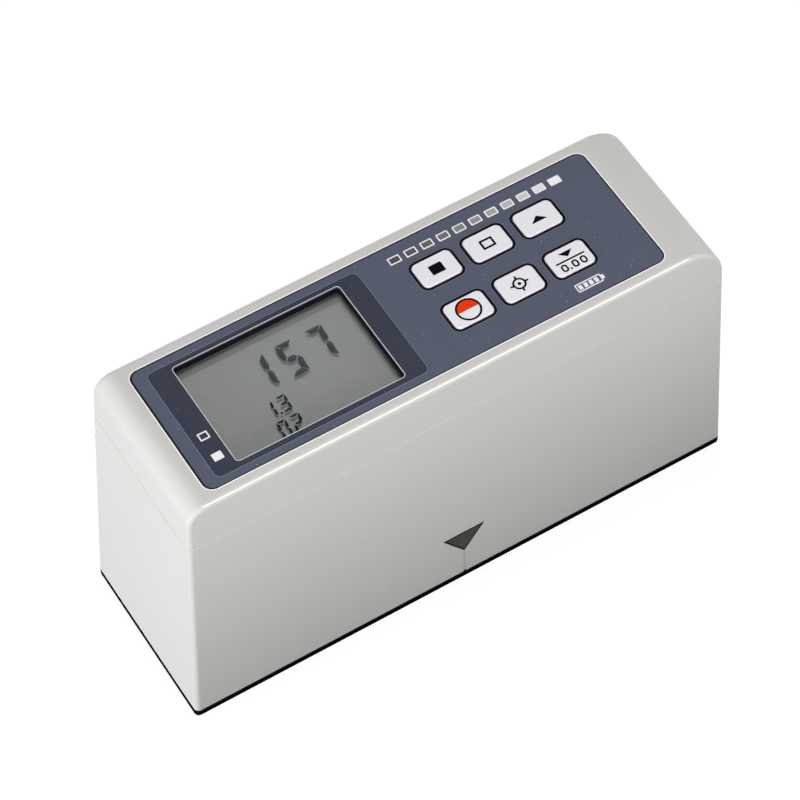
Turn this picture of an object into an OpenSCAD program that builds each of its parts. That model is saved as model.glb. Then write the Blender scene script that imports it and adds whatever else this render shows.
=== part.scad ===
// Hand-held reflectance meter: a tall box that stands on the sample, reads it through a port
// in its base and shows the reading on a panel in its top.
// Millimetres. X runs along the box, Y from front to back, Z up. The origin is the middle of the base.

/* [Housing] */
// Length of the base, left to right
body_l = 140; // [136:1:170]
// Width of the base, front to back
body_w = 45; // [44:0.5:60]
// Height from the table to the top face
body_h = 75; // [72:0.5:95]
// Lean of the left end wall, in degrees
left_draft = 3; // [0:0.1:3.2]
// Lean of the right end wall, in degrees
right_draft = 2; // [0:0.1:3.2]
// Lean of the front wall, in degrees
front_draft = 2.15; // [0:0.05:2.4]
// Lean of the back wall, in degrees
back_draft = 1.2; // [0:0.05:1.6]
// Radius of the upright corners and of the long top edges
edge_r = 1.2; // [0.8:0.1:2.5]
// Radius where the left end wall rolls into the top
left_edge_r = 5; // [4.5:0.1:9]
// Radius where the right end wall rolls into the top
right_edge_r = 10.5; // [4.5:0.1:10.8]
// Wall thickness of the mouldings
wall = 2.2; // [1.8:0.1:2.6]
// Height of the top cover above its seam
cover_h = 12.5; // [11.5:0.1:14]
// Depth of the cover's tongue inside the body
tongue_h = 2.5; // [1.5:0.1:4]
// Gap between pieces that locate in each other
fit_gap = 0.1; // [0.05:0.01:0.2]

/* [Base] */
// Thickness of the base plate at its edge
base_t = 1.5; // [1.4:0.1:2.5]
// Height of the base plate's step inside the walls
base_step = 1.5; // [1:0.1:3]
// Radius of the measuring port
port_r = 10; // [6:0.5:11]
// Wall of the ring round the port
ring_wall = 1.8; // [1.2:0.1:2.2]
// Width of the ring's flange
ring_flange = 2.2; // [1.5:0.1:2.5]
// Thickness of the ring's flange
ring_flange_t = 1.2; // [0.8:0.1:2]

/* [Panel] */
// Distance from the body's left end to the panel
panel_left = 10.5; // [9.5:0.1:12]
// Distance from the body's right end to the panel
panel_right = 15.3; // [14:0.1:17]
// Distance from the body's front to the panel
panel_front = 5.6; // [5.4:0.1:7]
// Distance from the body's back to the panel
panel_back = 4.6; // [4.3:0.1:6]
// Corner radius of the panel
panel_r = 2.4; // [1.5:0.1:6]
// Thickness of the overlay
overlay_t = 0.4; // [0.3:0.05:0.6]
// Depth of the overlay's face below the top face
overlay_sink = 0.1; // [0:0.05:0.3]
// Thickness of the cover under the panel
top_t = 1.6; // [1.3:0.1:2.2]

/* [Display] */
// Distance from the panel's left end to the display opening
window_left = 9.1; // [8.7:0.1:12]
// Distance from the display opening to the first keys
window_right = 15.5; // [13:0.05:20]
// Distance from the panel's front edge to the display opening
window_front = 3.6; // [3.4:0.1:6]
// Distance from the panel's back edge to the display opening
window_back = 3.5; // [3.3:0.1:6]
// Corner radius of the display opening
window_r = 0.8; // [0.4:0.1:2]
// Thickness of the clear pane
pane_t = 1; // [0.6:0.1:1.2]
// Width of the pane's edge under the overlay
pane_edge = 1.2; // [0.8:0.1:1.5]
// Thickness of the display glass
lcd_t = 2.8; // [2:0.1:3]
// Width of the display glass hidden beyond the opening
lcd_margin = 2.2; // [1.5:0.1:2.5]
// Wall of the frame round the display glass
frame_wall = 1.3; // [1:0.1:1.5]
// Width of a rubber contact strip
strip_w = 2; // [1.5:0.1:2.5]

/* [Keys] */
// Length of a key
key_l = 9.6; // [7:0.1:10]
// Width of a key
key_w = 6.9; // [5:0.1:9]
// Corner radius of a key
key_r = 1.3; // [0.5:0.1:2]
// Distance between keys along X
key_pitch_x = 12.85; // [12.5:0.05:14]
// Distance between the two rows of keys
key_pitch_y = 12.8; // [11.5:0.1:14]
// Distance from the panel's right end to the middle of the keys
keys_right = 30.95; // [29.5:0.05:33]
// How far the keys stand behind the panel's middle
keys_back = 0.1; // [-0.5:0.05:0.5]
// Gap round a key in its opening
key_gap = 0.25; // [0.2:0.05:0.35]
// Height of a key above the overlay
key_proud = 0.3; // [0.2:0.05:0.6]
// How far a key travels
key_travel = 0.4; // [0.2:0.05:0.5]
// Width of the flange that keeps a key in
key_flange = 0.8; // [0.5:0.1:0.9]
// Thickness of a key's flange
key_flange_t = 1; // [0.7:0.1:1.2]

/* [Board] */
// Thickness of the circuit boards
board_t = 1.6; // [1:0.1:2]
// Side of a switch body
switch_s = 6; // [5:0.5:7]
// Height of a switch body
switch_h = 3.4; // [3:0.1:4]
// Radius of a switch plunger
plunger_r = 1.7; // [1.2:0.1:2]
// Height of a plunger above its switch body
plunger_h = 0.9; // [0.7:0.05:1.2]
// Depth of a plunger inside its switch body
plunger_in = 0.8; // [0.5:0.1:1.2]
// Side of the control chip
chip_s = 12; // [8:0.5:14]
// Thickness of the control chip
chip_t = 1.6; // [1:0.1:3]

/* [Optics] */
// Side of the optics block's foot
block_s = 34; // [33:0.5:36]
// Height of the optics block's foot
foot_h = 13; // [11:0.5:15]
// Side of the upright detector tower
tower_s = 17; // [15:0.5:20]
// Height of the tower's top above the block's foot
tower_h = 30; // [28:0.5:34]
// Side of the lamp arm
arm_s = 13; // [12:0.5:15]
// Lean of the lamp arm from upright, in degrees
lamp_angle = 45; // [42:1:48]
// Distance of the lamp lens from the sample
lamp_lens_d = 25; // [23:0.5:27]
// Distance of the lamp arm's end from the sample
arm_end_d = 42; // [40:0.5:44]
// Radius of the light tubes
tube_r = 3.2; // [2.5:0.1:3.5]
// Radius of the two lenses
lens_r = 4.1; // [3.8:0.1:4.4]
// Thickness of the two lenses
lens_t = 2.5; // [2:0.1:3]
// Radius of the colour filter
filter_r = 4.9; // [4.6:0.1:5.2]
// Thickness of the colour filter
filter_t = 1.5; // [1:0.1:2]
// Radius of the photodiode's can
diode_r = 4.1; // [3.5:0.1:4.4]
// Radius of the lamp LED
led_r = 2.5; // [2:0.1:2.6]
// Width of the LED's rim
led_rim = 0.4; // [0.3:0.05:0.6]
// Thickness of the LED's rim
led_rim_t = 1; // [0.8:0.1:1.2]
// Width of the photodiode's rim
diode_rim = 0.5; // [0.3:0.05:0.7]
// Thickness of the photodiode's rim
diode_rim_t = 1; // [0.8:0.1:1.2]
// Gap between the colour filter and the photodiode
diode_gap = 0.5; // [0.3:0.1:1]
// Height of the detector lens above the block's foot
lens_rise = 8; // [6:0.5:10]
// Depth of the colour filter below the tower's top
filter_drop = 8; // [7:0.5:9]
// Distance from the lamp lens to the lamp's seat
lamp_seat = 8; // [7:0.5:9]

/* [Battery] */
// Diameter of a cell
cell_d = 10.5; // [10:0.1:11]
// Length of a cell with its tip
cell_l = 44.5; // [43:0.1:46]
// Distance from the body's right end to the middle of the battery
battery_right = 20; // [19:0.5:22]
// Gap between neighbouring cells
cell_gap = 0.3; // [0.2:0.05:0.6]
// Side of the battery holder
holder_s = 24; // [23.5:0.1:24.5]
// Thickness of the holder's end plates
holder_t = 1.5; // [1:0.1:2]
// Thickness of the battery contacts
contact_t = 0.4; // [0.3:0.05:0.6]
// Height of a battery spring as fitted
spring_h = 3; // [2.8:0.1:4]
// Turns of a battery spring
spring_turns = 3; // [2:1:3]
// Radius of the spring's wire
spring_wire_r = 0.35; // [0.25:0.05:0.4]
// Wall of the battery case
case_wall = 1.2; // [1:0.1:1.6]
// Gap round the battery holder in its case
holder_gap = 0.3; // [0.2:0.05:0.5]

/* [Battery door] */
// Width of the door over its tongues
door_w = 26.6; // [26.2:0.1:27.4]
// Width of a door tongue
door_tongue = 1.2; // [0.8:0.1:1.4]
// Thickness of the base's lip under a tongue
door_lip_t = 0.6; // [0.5:0.05:0.7]
// Thickness of a door tongue
door_tongue_t = 0.6; // [0.5:0.05:0.7]
// Running gap round the door
door_gap = 0.12; // [0.1:0.01:0.2]

/* [Data jack] */
// Distance from the middle of the battery to the jack
jack_left = 25; // [24:0.5:27]
// Height of the jack above the table
jack_z = 40; // [30:0.5:46]
// Radius of the jack's bore
jack_bore_r = 1.8; // [1.3:0.05:2]
// Depth of the jack's bore
jack_depth = 13; // [10:0.5:14]
// Radius of the jack's barrel
jack_barrel_r = 3; // [2.8:0.1:3.5]
// Thickness of the jack's nut
jack_nut_t = 1.2; // [0.8:0.1:1.4]

/* [Fasteners] */
// Radius of the case screws
screw_r = 1.1; // [0.9:0.05:1.3]
// Radius of the case screws' heads
screw_head_r = 2; // [1.8:0.1:2.4]
// Height of the case screws' heads
screw_head_h = 1.2; // [1:0.1:1.3]
// Radius of the small board screws
small_screw_r = 0.8; // [0.7:0.05:0.9]
// Wall of a screw boss round its screw
boss_wall = 1.1; // [1:0.1:1.5]
// Height of the base columns
column_h = 12; // [8:0.5:20]
// Thickness of the lugs that the cover screws pull on
lug_t = 3; // [2:0.1:4]
// How far the base screws end below the top of their columns
base_screw_stop = 2.5; // [1:0.1:4]
// How far the cover screws end below the ceiling
cover_screw_stop = 5; // [3:0.5:7]
// How far the board screws end below the ceiling
board_screw_stop = 2; // [1:0.5:3]
// How far the optics screws end below the top of the block's foot
optics_screw_stop = 4; // [3:0.5:6]
// Depth of the detector screws in the tower
detector_screw_l = 4; // [3:0.5:4.5]
// Room in a blind hole beyond its screw
screw_room = 1; // [0.5:0.1:1.5]

/* [Leads] */
// Radius of a lead
lead_r = 0.6; // [0.4:0.05:0.8]
// Thickness of the ribbon cable
ribbon_t = 0.5; // [0.4:0.05:0.8]
// Width of the ribbon cable
ribbon_w = 8; // [6:0.5:10]
// Distance between the two leads of a pair
lead_pitch = 4; // [3:0.5:5]
// Length of a ribbon socket
socket_l = 4; // [3:0.5:5]
// Height of a ribbon socket
socket_h = 4; // [3:0.5:5]
// Distance from the jack's leads to the upper ribbon socket
socket_gap = 4.9; // [1:0.1:6]
// Length of a battery lead, up and across
battery_lead_l = 14.68; // [12:0.01:20]

/* [Hidden] */
$fn = 48;
eps = 0.01;
// How far a cut through a leaning wall runs past it
over = 10;
// Steps in a rounded corner, and in the roll over the top edge
corner_n = 6;
edge_n = 10;
least_r = 0.3;

// Panel, keys and display, from the sides of the body
panel_l = body_l - panel_left - panel_right;
panel_w = body_w - panel_front - panel_back;
panel_x = (panel_left - panel_right)/2;
panel_y = (panel_front - panel_back)/2;
keys_x = panel_x + panel_l/2 - keys_right;
keys_y = panel_y + keys_back;
window_l = keys_x - key_pitch_x - key_l/2 - window_right - (panel_x - panel_l/2 + window_left);
window_w = panel_w - window_front - window_back;
window_x = panel_x - panel_l/2 + window_left + window_l/2;
window_y = panel_y + (window_front - window_back)/2;

// Battery and jack, from the right end of the body
battery_x = body_l/2 - battery_right;
jack_x = battery_x - jack_left;

// Heights of the housing, from the top down
seam_z = body_h - cover_h;
overlay_z = body_h - overlay_sink;
recess_z = overlay_z - overlay_t;
ceiling_z = recess_z - top_t;
base_top = base_t + base_step;

// Keys and switches, from the ceiling down
key_seat_z = ceiling_z - fit_gap;
key_foot_z = key_seat_z - key_flange_t;
switch_top_z = key_foot_z - plunger_h;
board_top_z = switch_top_z - switch_h;
board_z = board_top_z - board_t;
KEYS = ["dark_reading", "light_reading", "up", "power", "calibrate", "down"];

// Screw bosses in the four corners, and the columns below them
boss_r = screw_r + boss_wall;
boss_x = half_l(seam_z) - wall - boss_r - fit_gap;
boss_y = half_w(seam_z) - wall - boss_r - fit_gap;
column_y = half_w(base_top + column_h) - wall - boss_r - fit_gap;
lug_top = seam_z - tongue_h - 2*fit_gap;

// Display stack
lcd_l = window_l + 2*lcd_margin;
lcd_w = window_w + 2*lcd_margin;
lcd_top = ceiling_z - fit_gap;
lcd_z = lcd_top - lcd_t;
frame_l = lcd_l + 2*(fit_gap + frame_wall);
frame_w = lcd_w + 2*(fit_gap + frame_wall);

// Main board and the posts that it hangs from
board_gap = 0.4;
board_half_l = boss_x - boss_r - 0.5;
board_half_w = (front_w(board_z) + back_w(board_z))/2 - wall - board_gap;
board_y = (back_w(board_z) - front_w(board_z))/2;
post_r = small_screw_r + boss_wall - 0.2;
post_gap = 0.6;
post_left_x = window_x - frame_l/2 - post_r - post_gap;
post_right_x = keys_x + key_pitch_x + key_l/2 + key_gap + key_flange + post_r + post_gap;
post_y = board_half_w - post_r - post_gap;

// Optics, from the base up
ring_r = port_r + ring_wall;
flange_r = ring_r + ring_flange;
foot_top = base_top + foot_h;
tower_top = foot_top + tower_h;
lens_z = foot_top + lens_rise;
filter_z = tower_top - filter_drop;
chamber_r = port_r + 0.5;
optics_screw_x = block_s/2 - boss_wall - screw_r - 0.6;
lamp_dir = [-sin(lamp_angle), 0, cos(lamp_angle)];
lamp_flange_t = 1.5;
lamp_board_d = arm_end_d + lamp_flange_t;
lamp_seat_d = lamp_lens_d + lamp_seat;
detector_board_l = tower_s + 3;

// Battery, from the door up
door_sink = 0.1;
door_top = door_lip_t + door_gap + door_tongue_t;
door_x0 = battery_x - holder_s/2 - holder_gap - 1.2;
door_l = body_l/2 - door_x0;
holder_z = door_top + holder_gap;
cell_z = holder_z + holder_t + contact_t;
stack_top = cell_z + spring_h + cell_l;
holder_top = stack_top + contact_t + holder_t;
case_top = holder_top + holder_gap + case_wall;
cell_o = (cell_d + cell_gap)/2;
tip_l = 0.9;
tip_r = 1.9;
terminal_r = 1.5;
terminal_head_t = 0.8;

// Data jack, in a pocket of the back wall
jack_face_y = back_w(jack_z) - 0.1;
jack_seat_y = jack_face_y - jack_nut_t;
jack_pad_y = back_w(jack_z) - wall - 1;
jack_rear_y = jack_face_y - jack_depth - 1.5;
jack_body_s = 2*jack_barrel_r + 3;
jack_nut_r = jack_barrel_r + 1.4;

// Form of the housing

// How far a wall has leaned in at a height
function lean(z, draft) = (z - base_t)*tan(draft);
function left_l(z) = body_l/2 - lean(z, left_draft);
function right_l(z) = body_l/2 - lean(z, right_draft);
function front_w(z) = body_w/2 - lean(z, front_draft);
function back_w(z) = body_w/2 - lean(z, back_draft);
// The lesser of two opposite halves, for what lies alike on both sides
function half_l(z) = min(left_l(z), right_l(z));
function half_w(z) = min(front_w(z), back_w(z));

// The housing's outline at a height, inset by a wall, under a top. Each end rolls into the top
// with its own radius, and one smaller edge radius follows that profile round the long walls.
function ring(z, inset = 0, top = body_h) =
    let (
        f = max(edge_r - inset, least_r),
        turn = z <= top - f ? 90 : acos(min(1, (z - top + f)/f))
    )
    [for (c = [0:3], i = [0:corner_n])
        let (
            sx = c == 0 || c == 3 ? 1 : -1,
            sy = c < 2 ? 1 : -1,
            k = (c%2 == 0 ? i : corner_n - i)/corner_n,
            end_r = max((sx > 0 ? right_edge_r : left_edge_r) - inset, f + least_r),
            reach = end_r - f + f*cos(turn*k),
            rise = max(0, z - top + end_r),
            x = max(sqrt(max(0, reach*reach - rise*rise)), least_r*cos(90*k)),
            y = max(f*sin(turn*k), least_r*sin(90*k)),
            side_l = sx > 0 ? right_l(z) : left_l(z),
            side_w = sy > 0 ? back_w(z) : front_w(z)
        )
        [sx*(side_l - inset - end_r + x), sy*(side_w - inset - f + y), z]];

// A solid through a list of rings that all have as many points
module loft(rings) {
    n = len(rings[0]);
    last = len(rings) - 1;
    sides = [for (k = [0:last - 1], i = [0:n - 1])
        let (a = k*n + i, b = k*n + (i + 1)%n)
        each [[a, a + n, b + n], [a, b + n, b]]];
    first_cap = [for (i = [0:n - 1]) i];
    last_cap = [for (i = [n - 1:-1:0]) last*n + i];
    polyhedron(points = [for (r = rings) each r], faces = concat([first_cap], sides, [last_cap]));
}

// The housing's form between two heights of its leaning walls
module wall_form(inset, z0, z1) {
    loft([for (z = [z0, z1]) ring(z, inset, 2*body_h)]);
}

// The housing's form from a height up to a rolled top
module top_form(inset, z0, top) {
    r = max(left_edge_r, right_edge_r) - inset;
    loft([for (i = [-1:edge_n])
        ring(i < 0 ? z0 : top - r + r*sin(90*i/edge_n), inset, top)]);
}

// Shared shapes

module rounded_plan(l, w, r) {
    square([l - 2*r, w], center = true);
    square([l, w - 2*r], center = true);
    for (x = [-1, 1], y = [-1, 1])
        translate([x*(l/2 - r), y*(w/2 - r)])
            circle(r);
}

module rounded_plate(l, w, r, z0, z1) {
    translate([0, 0, z0])
        linear_extrude(z1 - z0)
            rounded_plan(l, w, r);
}

module block(l, w, z0, z1) {
    translate([-l/2, -w/2, z0])
        cube([l, w, z1 - z0]);
}

module rod(r, z0, z1) {
    translate([0, 0, z0])
        cylinder(h = z1 - z0, r = r);
}

module at_corners(x, y) {
    for (sx = [-1, 1], sy = [-1, 1])
        translate([sx*x, sy*y, 0])
            children();
}

module at_key(i) {
    translate([keys_x + (i%3 - 1)*key_pitch_x, keys_y + (i < 3 ? 0.5 : -0.5)*key_pitch_y, 0])
        children();
}

module at_window() {
    translate([window_x, window_y, 0])
        children();
}

module at_battery() {
    translate([battery_x, 0, 0])
        children();
}

// Along the lamp's axis, measured from the sample
module along_lamp() {
    rotate([0, -lamp_angle, 0])
        children();
}

// Along the jack's axis, measured from the middle plane towards the back
module along_jack() {
    translate([jack_x, 0, jack_z])
        rotate([-90, 0, 0])
            children();
}

module cross_slot(r) {
    for (a = [0, 90])
        rotate([0, 0, a])
            block(1.5*r, 0.3*r, -eps, 0.6*r);
}

// A countersunk screw that points up, its head's face at z
module sunk_screw(z, tip) {
    translate([0, 0, z])
        difference() {
            union() {
                cylinder(h = screw_head_h, r1 = screw_head_r, r2 = screw_r);
                cylinder(h = tip - z, r = screw_r);
            }
            cross_slot(screw_head_r);
        }
}

// The hole that a countersunk screw passes through
module sunk_hole(z, top) {
    translate([0, 0, z])
        cylinder(h = screw_head_h, r1 = screw_head_r + fit_gap, r2 = screw_r + fit_gap);
    rod(screw_head_r + fit_gap, z - 1, z + eps);
    rod(screw_r + fit_gap, z, top);
}

// A pan-head screw that points up, its head hanging below the face at z
module pan_screw(z, tip, r, head_r) {
    head_h = 1.4*r;
    translate([0, 0, z - head_h])
        difference() {
            union() {
                cylinder(h = head_h, r = head_r);
                cylinder(h = tip - z + head_h, r = r);
            }
            cross_slot(head_r);
        }
}

// A point on a curve with four control points, and the curve's direction there
function curve(p, t) = pow(1 - t, 3)*p[0] + 3*t*pow(1 - t, 2)*p[1] + 3*t*t*(1 - t)*p[2] + t*t*t*p[3];
function heading(p, t) = pow(1 - t, 2)*(p[1] - p[0]) + 2*t*(1 - t)*(p[2] - p[1]) + t*t*(p[3] - p[2]);
function unit(v) = v/norm(v);

// A round lead along a flat curve with the given normal
module lead(p, normal, rings = 14, sides = 8) {
    loft([for (k = [0:rings])
        let (c = curve(p, k/rings), d = unit(heading(p, k/rings)), v = cross(d, normal))
        [for (i = [0:sides - 1])
            c + lead_r*(cos(360*i/sides)*normal + sin(360*i/sides)*v)]]);
}

// Housing

module body_shell() {
    color([0.79, 0.78, 0.76])
        difference() {
            union() {
                difference() {
                    wall_form(0, base_t, seam_z);
                    wall_form(wall, base_t - over, seam_z + over);
                }
                base_columns();
                cover_lugs();
                along_jack()
                    rod(jack_nut_r + 2, jack_pad_y, back_w(seam_z) - wall/2);
            }
            wall_form(wall/2, seam_z - tongue_h - fit_gap, seam_z + over);
            at_corners(boss_x, column_y)
                rod(screw_r + fit_gap/2, base_t, base_top + column_h - 1.5);
            at_corners(boss_x, boss_y)
                rod(screw_r + fit_gap, lug_top - lug_t - eps, lug_top + eps);
            along_jack() {
                rod(jack_barrel_r + fit_gap, jack_pad_y - 1, jack_face_y);
                rod(jack_nut_r + fit_gap, jack_seat_y, jack_face_y + wall);
            }
        }
}

// Columns on the long walls that take the base screws
module base_columns() {
    z = base_top + column_h;
    for (sx = [-1, 1], side = [[0, back_w(z)], [1, front_w(z)]])
        mirror([0, side[0], 0])
            translate([sx*boss_x, column_y, base_top]) {
                cylinder(h = column_h, r = boss_r);
                translate([-boss_r, 0, 0])
                    cube([2*boss_r, side[1] - wall/2 - column_y, column_h]);
            }
}

// Lugs on the long walls that the cover screws pull on
module cover_lugs() {
    for (sx = [-1, 1], side = [[0, back_w(lug_top)], [1, front_w(lug_top)]])
        mirror([0, side[0], 0])
            translate([sx*boss_x - boss_r, boss_y - boss_r, lug_top - lug_t])
                cube([2*boss_r, side[1] - wall/2 - boss_y + boss_r, lug_t]);
}

module top_cover() {
    color([0.8, 0.79, 0.77])
        difference() {
            union() {
                difference() {
                    union() {
                        top_form(0, seam_z, body_h);
                        wall_form(wall/2 + fit_gap, seam_z - tongue_h, seam_z + 0.5);
                    }
                    top_form(wall, seam_z - tongue_h - over, ceiling_z);
                }
                intersection() {
                    at_corners(boss_x, boss_y)
                        rod(boss_r, lug_top, body_h);
                    top_form(wall/2, lug_top, ceiling_z + wall/2);
                }
                at_board_posts()
                    rod(post_r, board_top_z, ceiling_z + eps);
            }
            translate([panel_x, panel_y, 0])
                rounded_plate(panel_l + 2*fit_gap, panel_w + 2*fit_gap, panel_r + fit_gap,
                    recess_z, body_h + 1);
            at_window() {
                rounded_plate(window_l + 2*(pane_edge + fit_gap), window_w + 2*(pane_edge + fit_gap),
                    window_r + pane_edge + fit_gap, recess_z - pane_t, recess_z + eps);
                rounded_plate(window_l, window_w, window_r, ceiling_z - 1, recess_z);
            }
            for (i = [0:5])
                at_key(i)
                    key_opening(ceiling_z - 1, recess_z + eps);
            at_corners(boss_x, boss_y)
                rod(screw_r + fit_gap/2, lug_top - 1, ceiling_z - 4);
            at_board_posts()
                rod(small_screw_r + fit_gap/2, board_top_z - 1, ceiling_z - 1);
        }
}

module key_opening(z0, z1) {
    rounded_plate(key_l + 2*key_gap, key_w + 2*key_gap, key_r + key_gap, z0, z1);
}

module at_board_posts() {
    for (x = [post_left_x, post_right_x], y = [-post_y, post_y])
        translate([x, board_y + y, 0])
            children();
}

module base_plate() {
    step_l = 2*(half_l(base_top) - wall - fit_gap);
    step_w = 2*(half_w(base_top) - wall - fit_gap);
    color([0.09, 0.09, 0.1])
        difference() {
            union() {
                difference() {
                    rounded_plate(body_l, body_w, edge_r, 0, base_t);
                    door_slot(door_w/2 - door_tongue + door_gap, -1, door_lip_t + eps);
                    door_slot(door_w/2 + door_gap, door_lip_t, base_t + 1);
                }
                rounded_plate(step_l, step_w, least_r, base_t, base_top);
            }
            rod(ring_r + fit_gap, -1, base_top + 1);
            at_battery()
                block(holder_s + 2*holder_gap, holder_s + 2*holder_gap, base_t - eps, base_top + 1);
            at_corners(boss_x, column_y)
                sunk_hole(0.1, base_top + 1);
            at_corners(optics_screw_x, optics_screw_x)
                sunk_hole(0.1, base_top + 1);
        }
}

// The slot that the battery door slides in, open at the right end
module door_slot(half, z0, z1) {
    translate([door_x0 - door_gap, -half, z0])
        cube([body_l, 2*half, z1 - z0]);
}

// Panel and display

module panel_overlay() {
    color([0.33, 0.36, 0.43])
        difference() {
            translate([panel_x, panel_y, 0])
                rounded_plate(panel_l, panel_w, panel_r, recess_z, overlay_z);
            at_window()
                rounded_plate(window_l, window_w, window_r, recess_z - 1, overlay_z + 1);
            for (i = [0:5])
                at_key(i)
                    key_opening(recess_z - 1, overlay_z + 1);
        }
}

module display_window() {
    color([0.8, 0.85, 0.86, 0.3])
        at_window()
            rounded_plate(window_l + 2*pane_edge, window_w + 2*pane_edge, window_r + pane_edge,
                recess_z - pane_t, recess_z);
}

module lcd_glass() {
    color([0.52, 0.55, 0.5])
        at_window()
            block(lcd_l, lcd_w, lcd_z, lcd_top);
}

module lcd_frame() {
    color([0.12, 0.12, 0.13])
        at_window()
            difference() {
                rounded_plate(frame_l, frame_w, frame_wall, board_top_z, lcd_top);
                block(lcd_l + 2*fit_gap, lcd_w + 2*fit_gap, board_top_z - 1, lcd_top + 1);
            }
}

module zebra_strips() {
    color([0.75, 0.35, 0.5])
        at_window()
            for (s = [-1, 1])
                translate([0, s*(lcd_w - strip_w)/2, 0])
                    block(lcd_l - 1, strip_w, board_top_z, lcd_z);
}

// Keys and switches

module key(i) {
    color([0.93, 0.93, 0.95])
        at_key(i) {
            rounded_plate(key_l, key_w, key_r, key_seat_z - eps, overlay_z + key_proud);
            rounded_plate(key_l + 2*(key_gap + key_flange), key_w + 2*(key_gap + key_flange),
                key_r, key_foot_z, key_seat_z);
        }
}

module plunger(i) {
    color([0.85, 0.3, 0.2])
        at_key(i)
            rod(plunger_r, switch_top_z - plunger_in, key_foot_z);
}

module switch_bodies() {
    color([0.15, 0.15, 0.16])
        for (i = [0:5])
            at_key(i)
                difference() {
                    block(switch_s, switch_s, board_top_z, switch_top_z);
                    rod(plunger_r + fit_gap, switch_top_z - plunger_in - key_travel - 0.4, switch_top_z + 1);
                }
}

// Main board

module main_board() {
    color([0.1, 0.35, 0.2])
        difference() {
            translate([0, board_y, 0])
                block(2*board_half_l, 2*board_half_w, board_z, board_top_z);
            at_board_posts()
                rod(small_screw_r + fit_gap, board_z - 1, board_top_z + 1);
        }
}

module control_chip() {
    color([0.13, 0.13, 0.14])
        translate([window_x + window_l/2, 0, 0])
            block(chip_s, chip_s, board_z - chip_t, board_z);
}

module board_parts() {
    crystal_l = 10;
    crystal_h = 3.5;
    can_r = 3;
    can_h = 7;
    color([0.6, 0.62, 0.65])
        translate([window_x, 0, 0]) {
            translate([0, -post_y/2, 0])
                rounded_plate(crystal_l, crystal_h, crystal_h/2 - eps, board_z - crystal_h, board_z);
            for (s = [0, 1])
                translate([s*(2*can_r + 2) - can_r, post_y/2, 0])
                    rod(can_r, board_z - can_h, board_z);
        }
}

module board_screws() {
    color([0.7, 0.7, 0.72])
        at_board_posts()
            pan_screw(board_z, ceiling_z - board_screw_stop, small_screw_r, post_r);
}

// Optics

module optics_block() {
    color([0.1, 0.1, 0.11])
        difference() {
            union() {
                block(block_s, block_s, base_top, foot_top);
                block(tower_s, tower_s, foot_top - eps, tower_top);
                difference() {
                    along_lamp()
                        block(arm_s, arm_s, port_r, arm_end_d);
                    block(body_l, body_w, -body_h, base_top + foot_h/2);
                }
            }
            rod(flange_r + fit_gap, base_top - 1, base_top + ring_flange_t);
            rod(chamber_r, base_top, foot_top - 3);
            rod(tube_r, foot_top - 4, tower_top + 1);
            rod(lens_r + fit_gap, lens_z, tower_top + 1);
            rod(filter_r + fit_gap, filter_z, tower_top + 1);
            along_lamp() {
                rod(tube_r, port_r, arm_end_d + 1);
                rod(lens_r + fit_gap, lamp_lens_d, arm_end_d + 1);
            }
            at_corners(optics_screw_x, optics_screw_x)
                rod(screw_r + fit_gap/2, base_top - 1, foot_top - optics_screw_stop + screw_room);
            at_detector_screws()
                rod(small_screw_r + fit_gap/2, tower_top - detector_screw_l - screw_room, tower_top + 1);
        }
}

module aperture_ring() {
    color([0.06, 0.06, 0.07])
        difference() {
            union() {
                rod(ring_r, 0, base_top);
                rod(flange_r, base_top, base_top + ring_flange_t);
            }
            rod(port_r, -1, base_top + ring_flange_t + 1);
        }
}

module optics_screws() {
    color([0.7, 0.7, 0.72])
        at_corners(optics_screw_x, optics_screw_x)
            sunk_screw(0.2, foot_top - optics_screw_stop);
}

// A lens with a flat seat and a domed face
module lens(z) {
    ball_r = 1.5*lens_r;
    intersection() {
        rod(lens_r, z, z + lens_t);
        translate([0, 0, z + lens_t - ball_r])
            sphere(ball_r);
    }
}

module lamp_lens() {
    color([0.8, 0.9, 0.95, 0.4])
        along_lamp()
            lens(lamp_lens_d);
}

module lamp_led() {
    color([0.95, 0.95, 0.85])
        along_lamp() {
            rod(led_r, lamp_seat_d + led_r, lamp_board_d);
            translate([0, 0, lamp_seat_d + led_r])
                sphere(led_r);
            rod(led_r + led_rim, lamp_board_d - led_rim_t, lamp_board_d);
        }
}

module lamp_holder() {
    color([0.14, 0.14, 0.15])
        along_lamp()
            difference() {
                union() {
                    rod(lens_r + fit_gap/2, lamp_seat_d, arm_end_d);
                    rod(arm_s/2 - 0.5, arm_end_d, lamp_board_d);
                }
                rod(led_r + fit_gap/2, lamp_seat_d - 1, lamp_board_d + 1);
                rod(led_r + led_rim + fit_gap/2, lamp_board_d - led_rim_t, lamp_board_d + 1);
            }
}

module lamp_board() {
    color([0.1, 0.35, 0.2])
        along_lamp()
            rod(arm_s/2 - 0.5, lamp_board_d, lamp_board_d + board_t);
}

module lamp_leads() {
    start = (lamp_board_d + board_t)*lamp_dir;
    finish = [start[0] - 3, 0, board_z];
    color([0.8, 0.15, 0.1])
        for (y = [-lead_pitch/2, lead_pitch/2])
            translate([0, y, 0])
                lead([start, start + 8*lamp_dir, finish - [0, 0, 12], finish], [0, 1, 0]);
}

module detector_lens() {
    color([0.8, 0.9, 0.95, 0.4])
        lens(lens_z);
}

module colour_filter() {
    color([0.35, 0.6, 0.3])
        rod(filter_r, filter_z, filter_z + filter_t);
}

module photodiode() {
    color([0.75, 0.72, 0.6]) {
        rod(diode_r, filter_z + filter_t + diode_gap, tower_top);
        rod(diode_r + diode_rim, tower_top - diode_rim_t, tower_top);
    }
}

module at_detector_screws() {
    for (s = [-1, 1])
        translate([0, s*(tower_s/2 - small_screw_r - boss_wall), 0])
            children();
}

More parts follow.
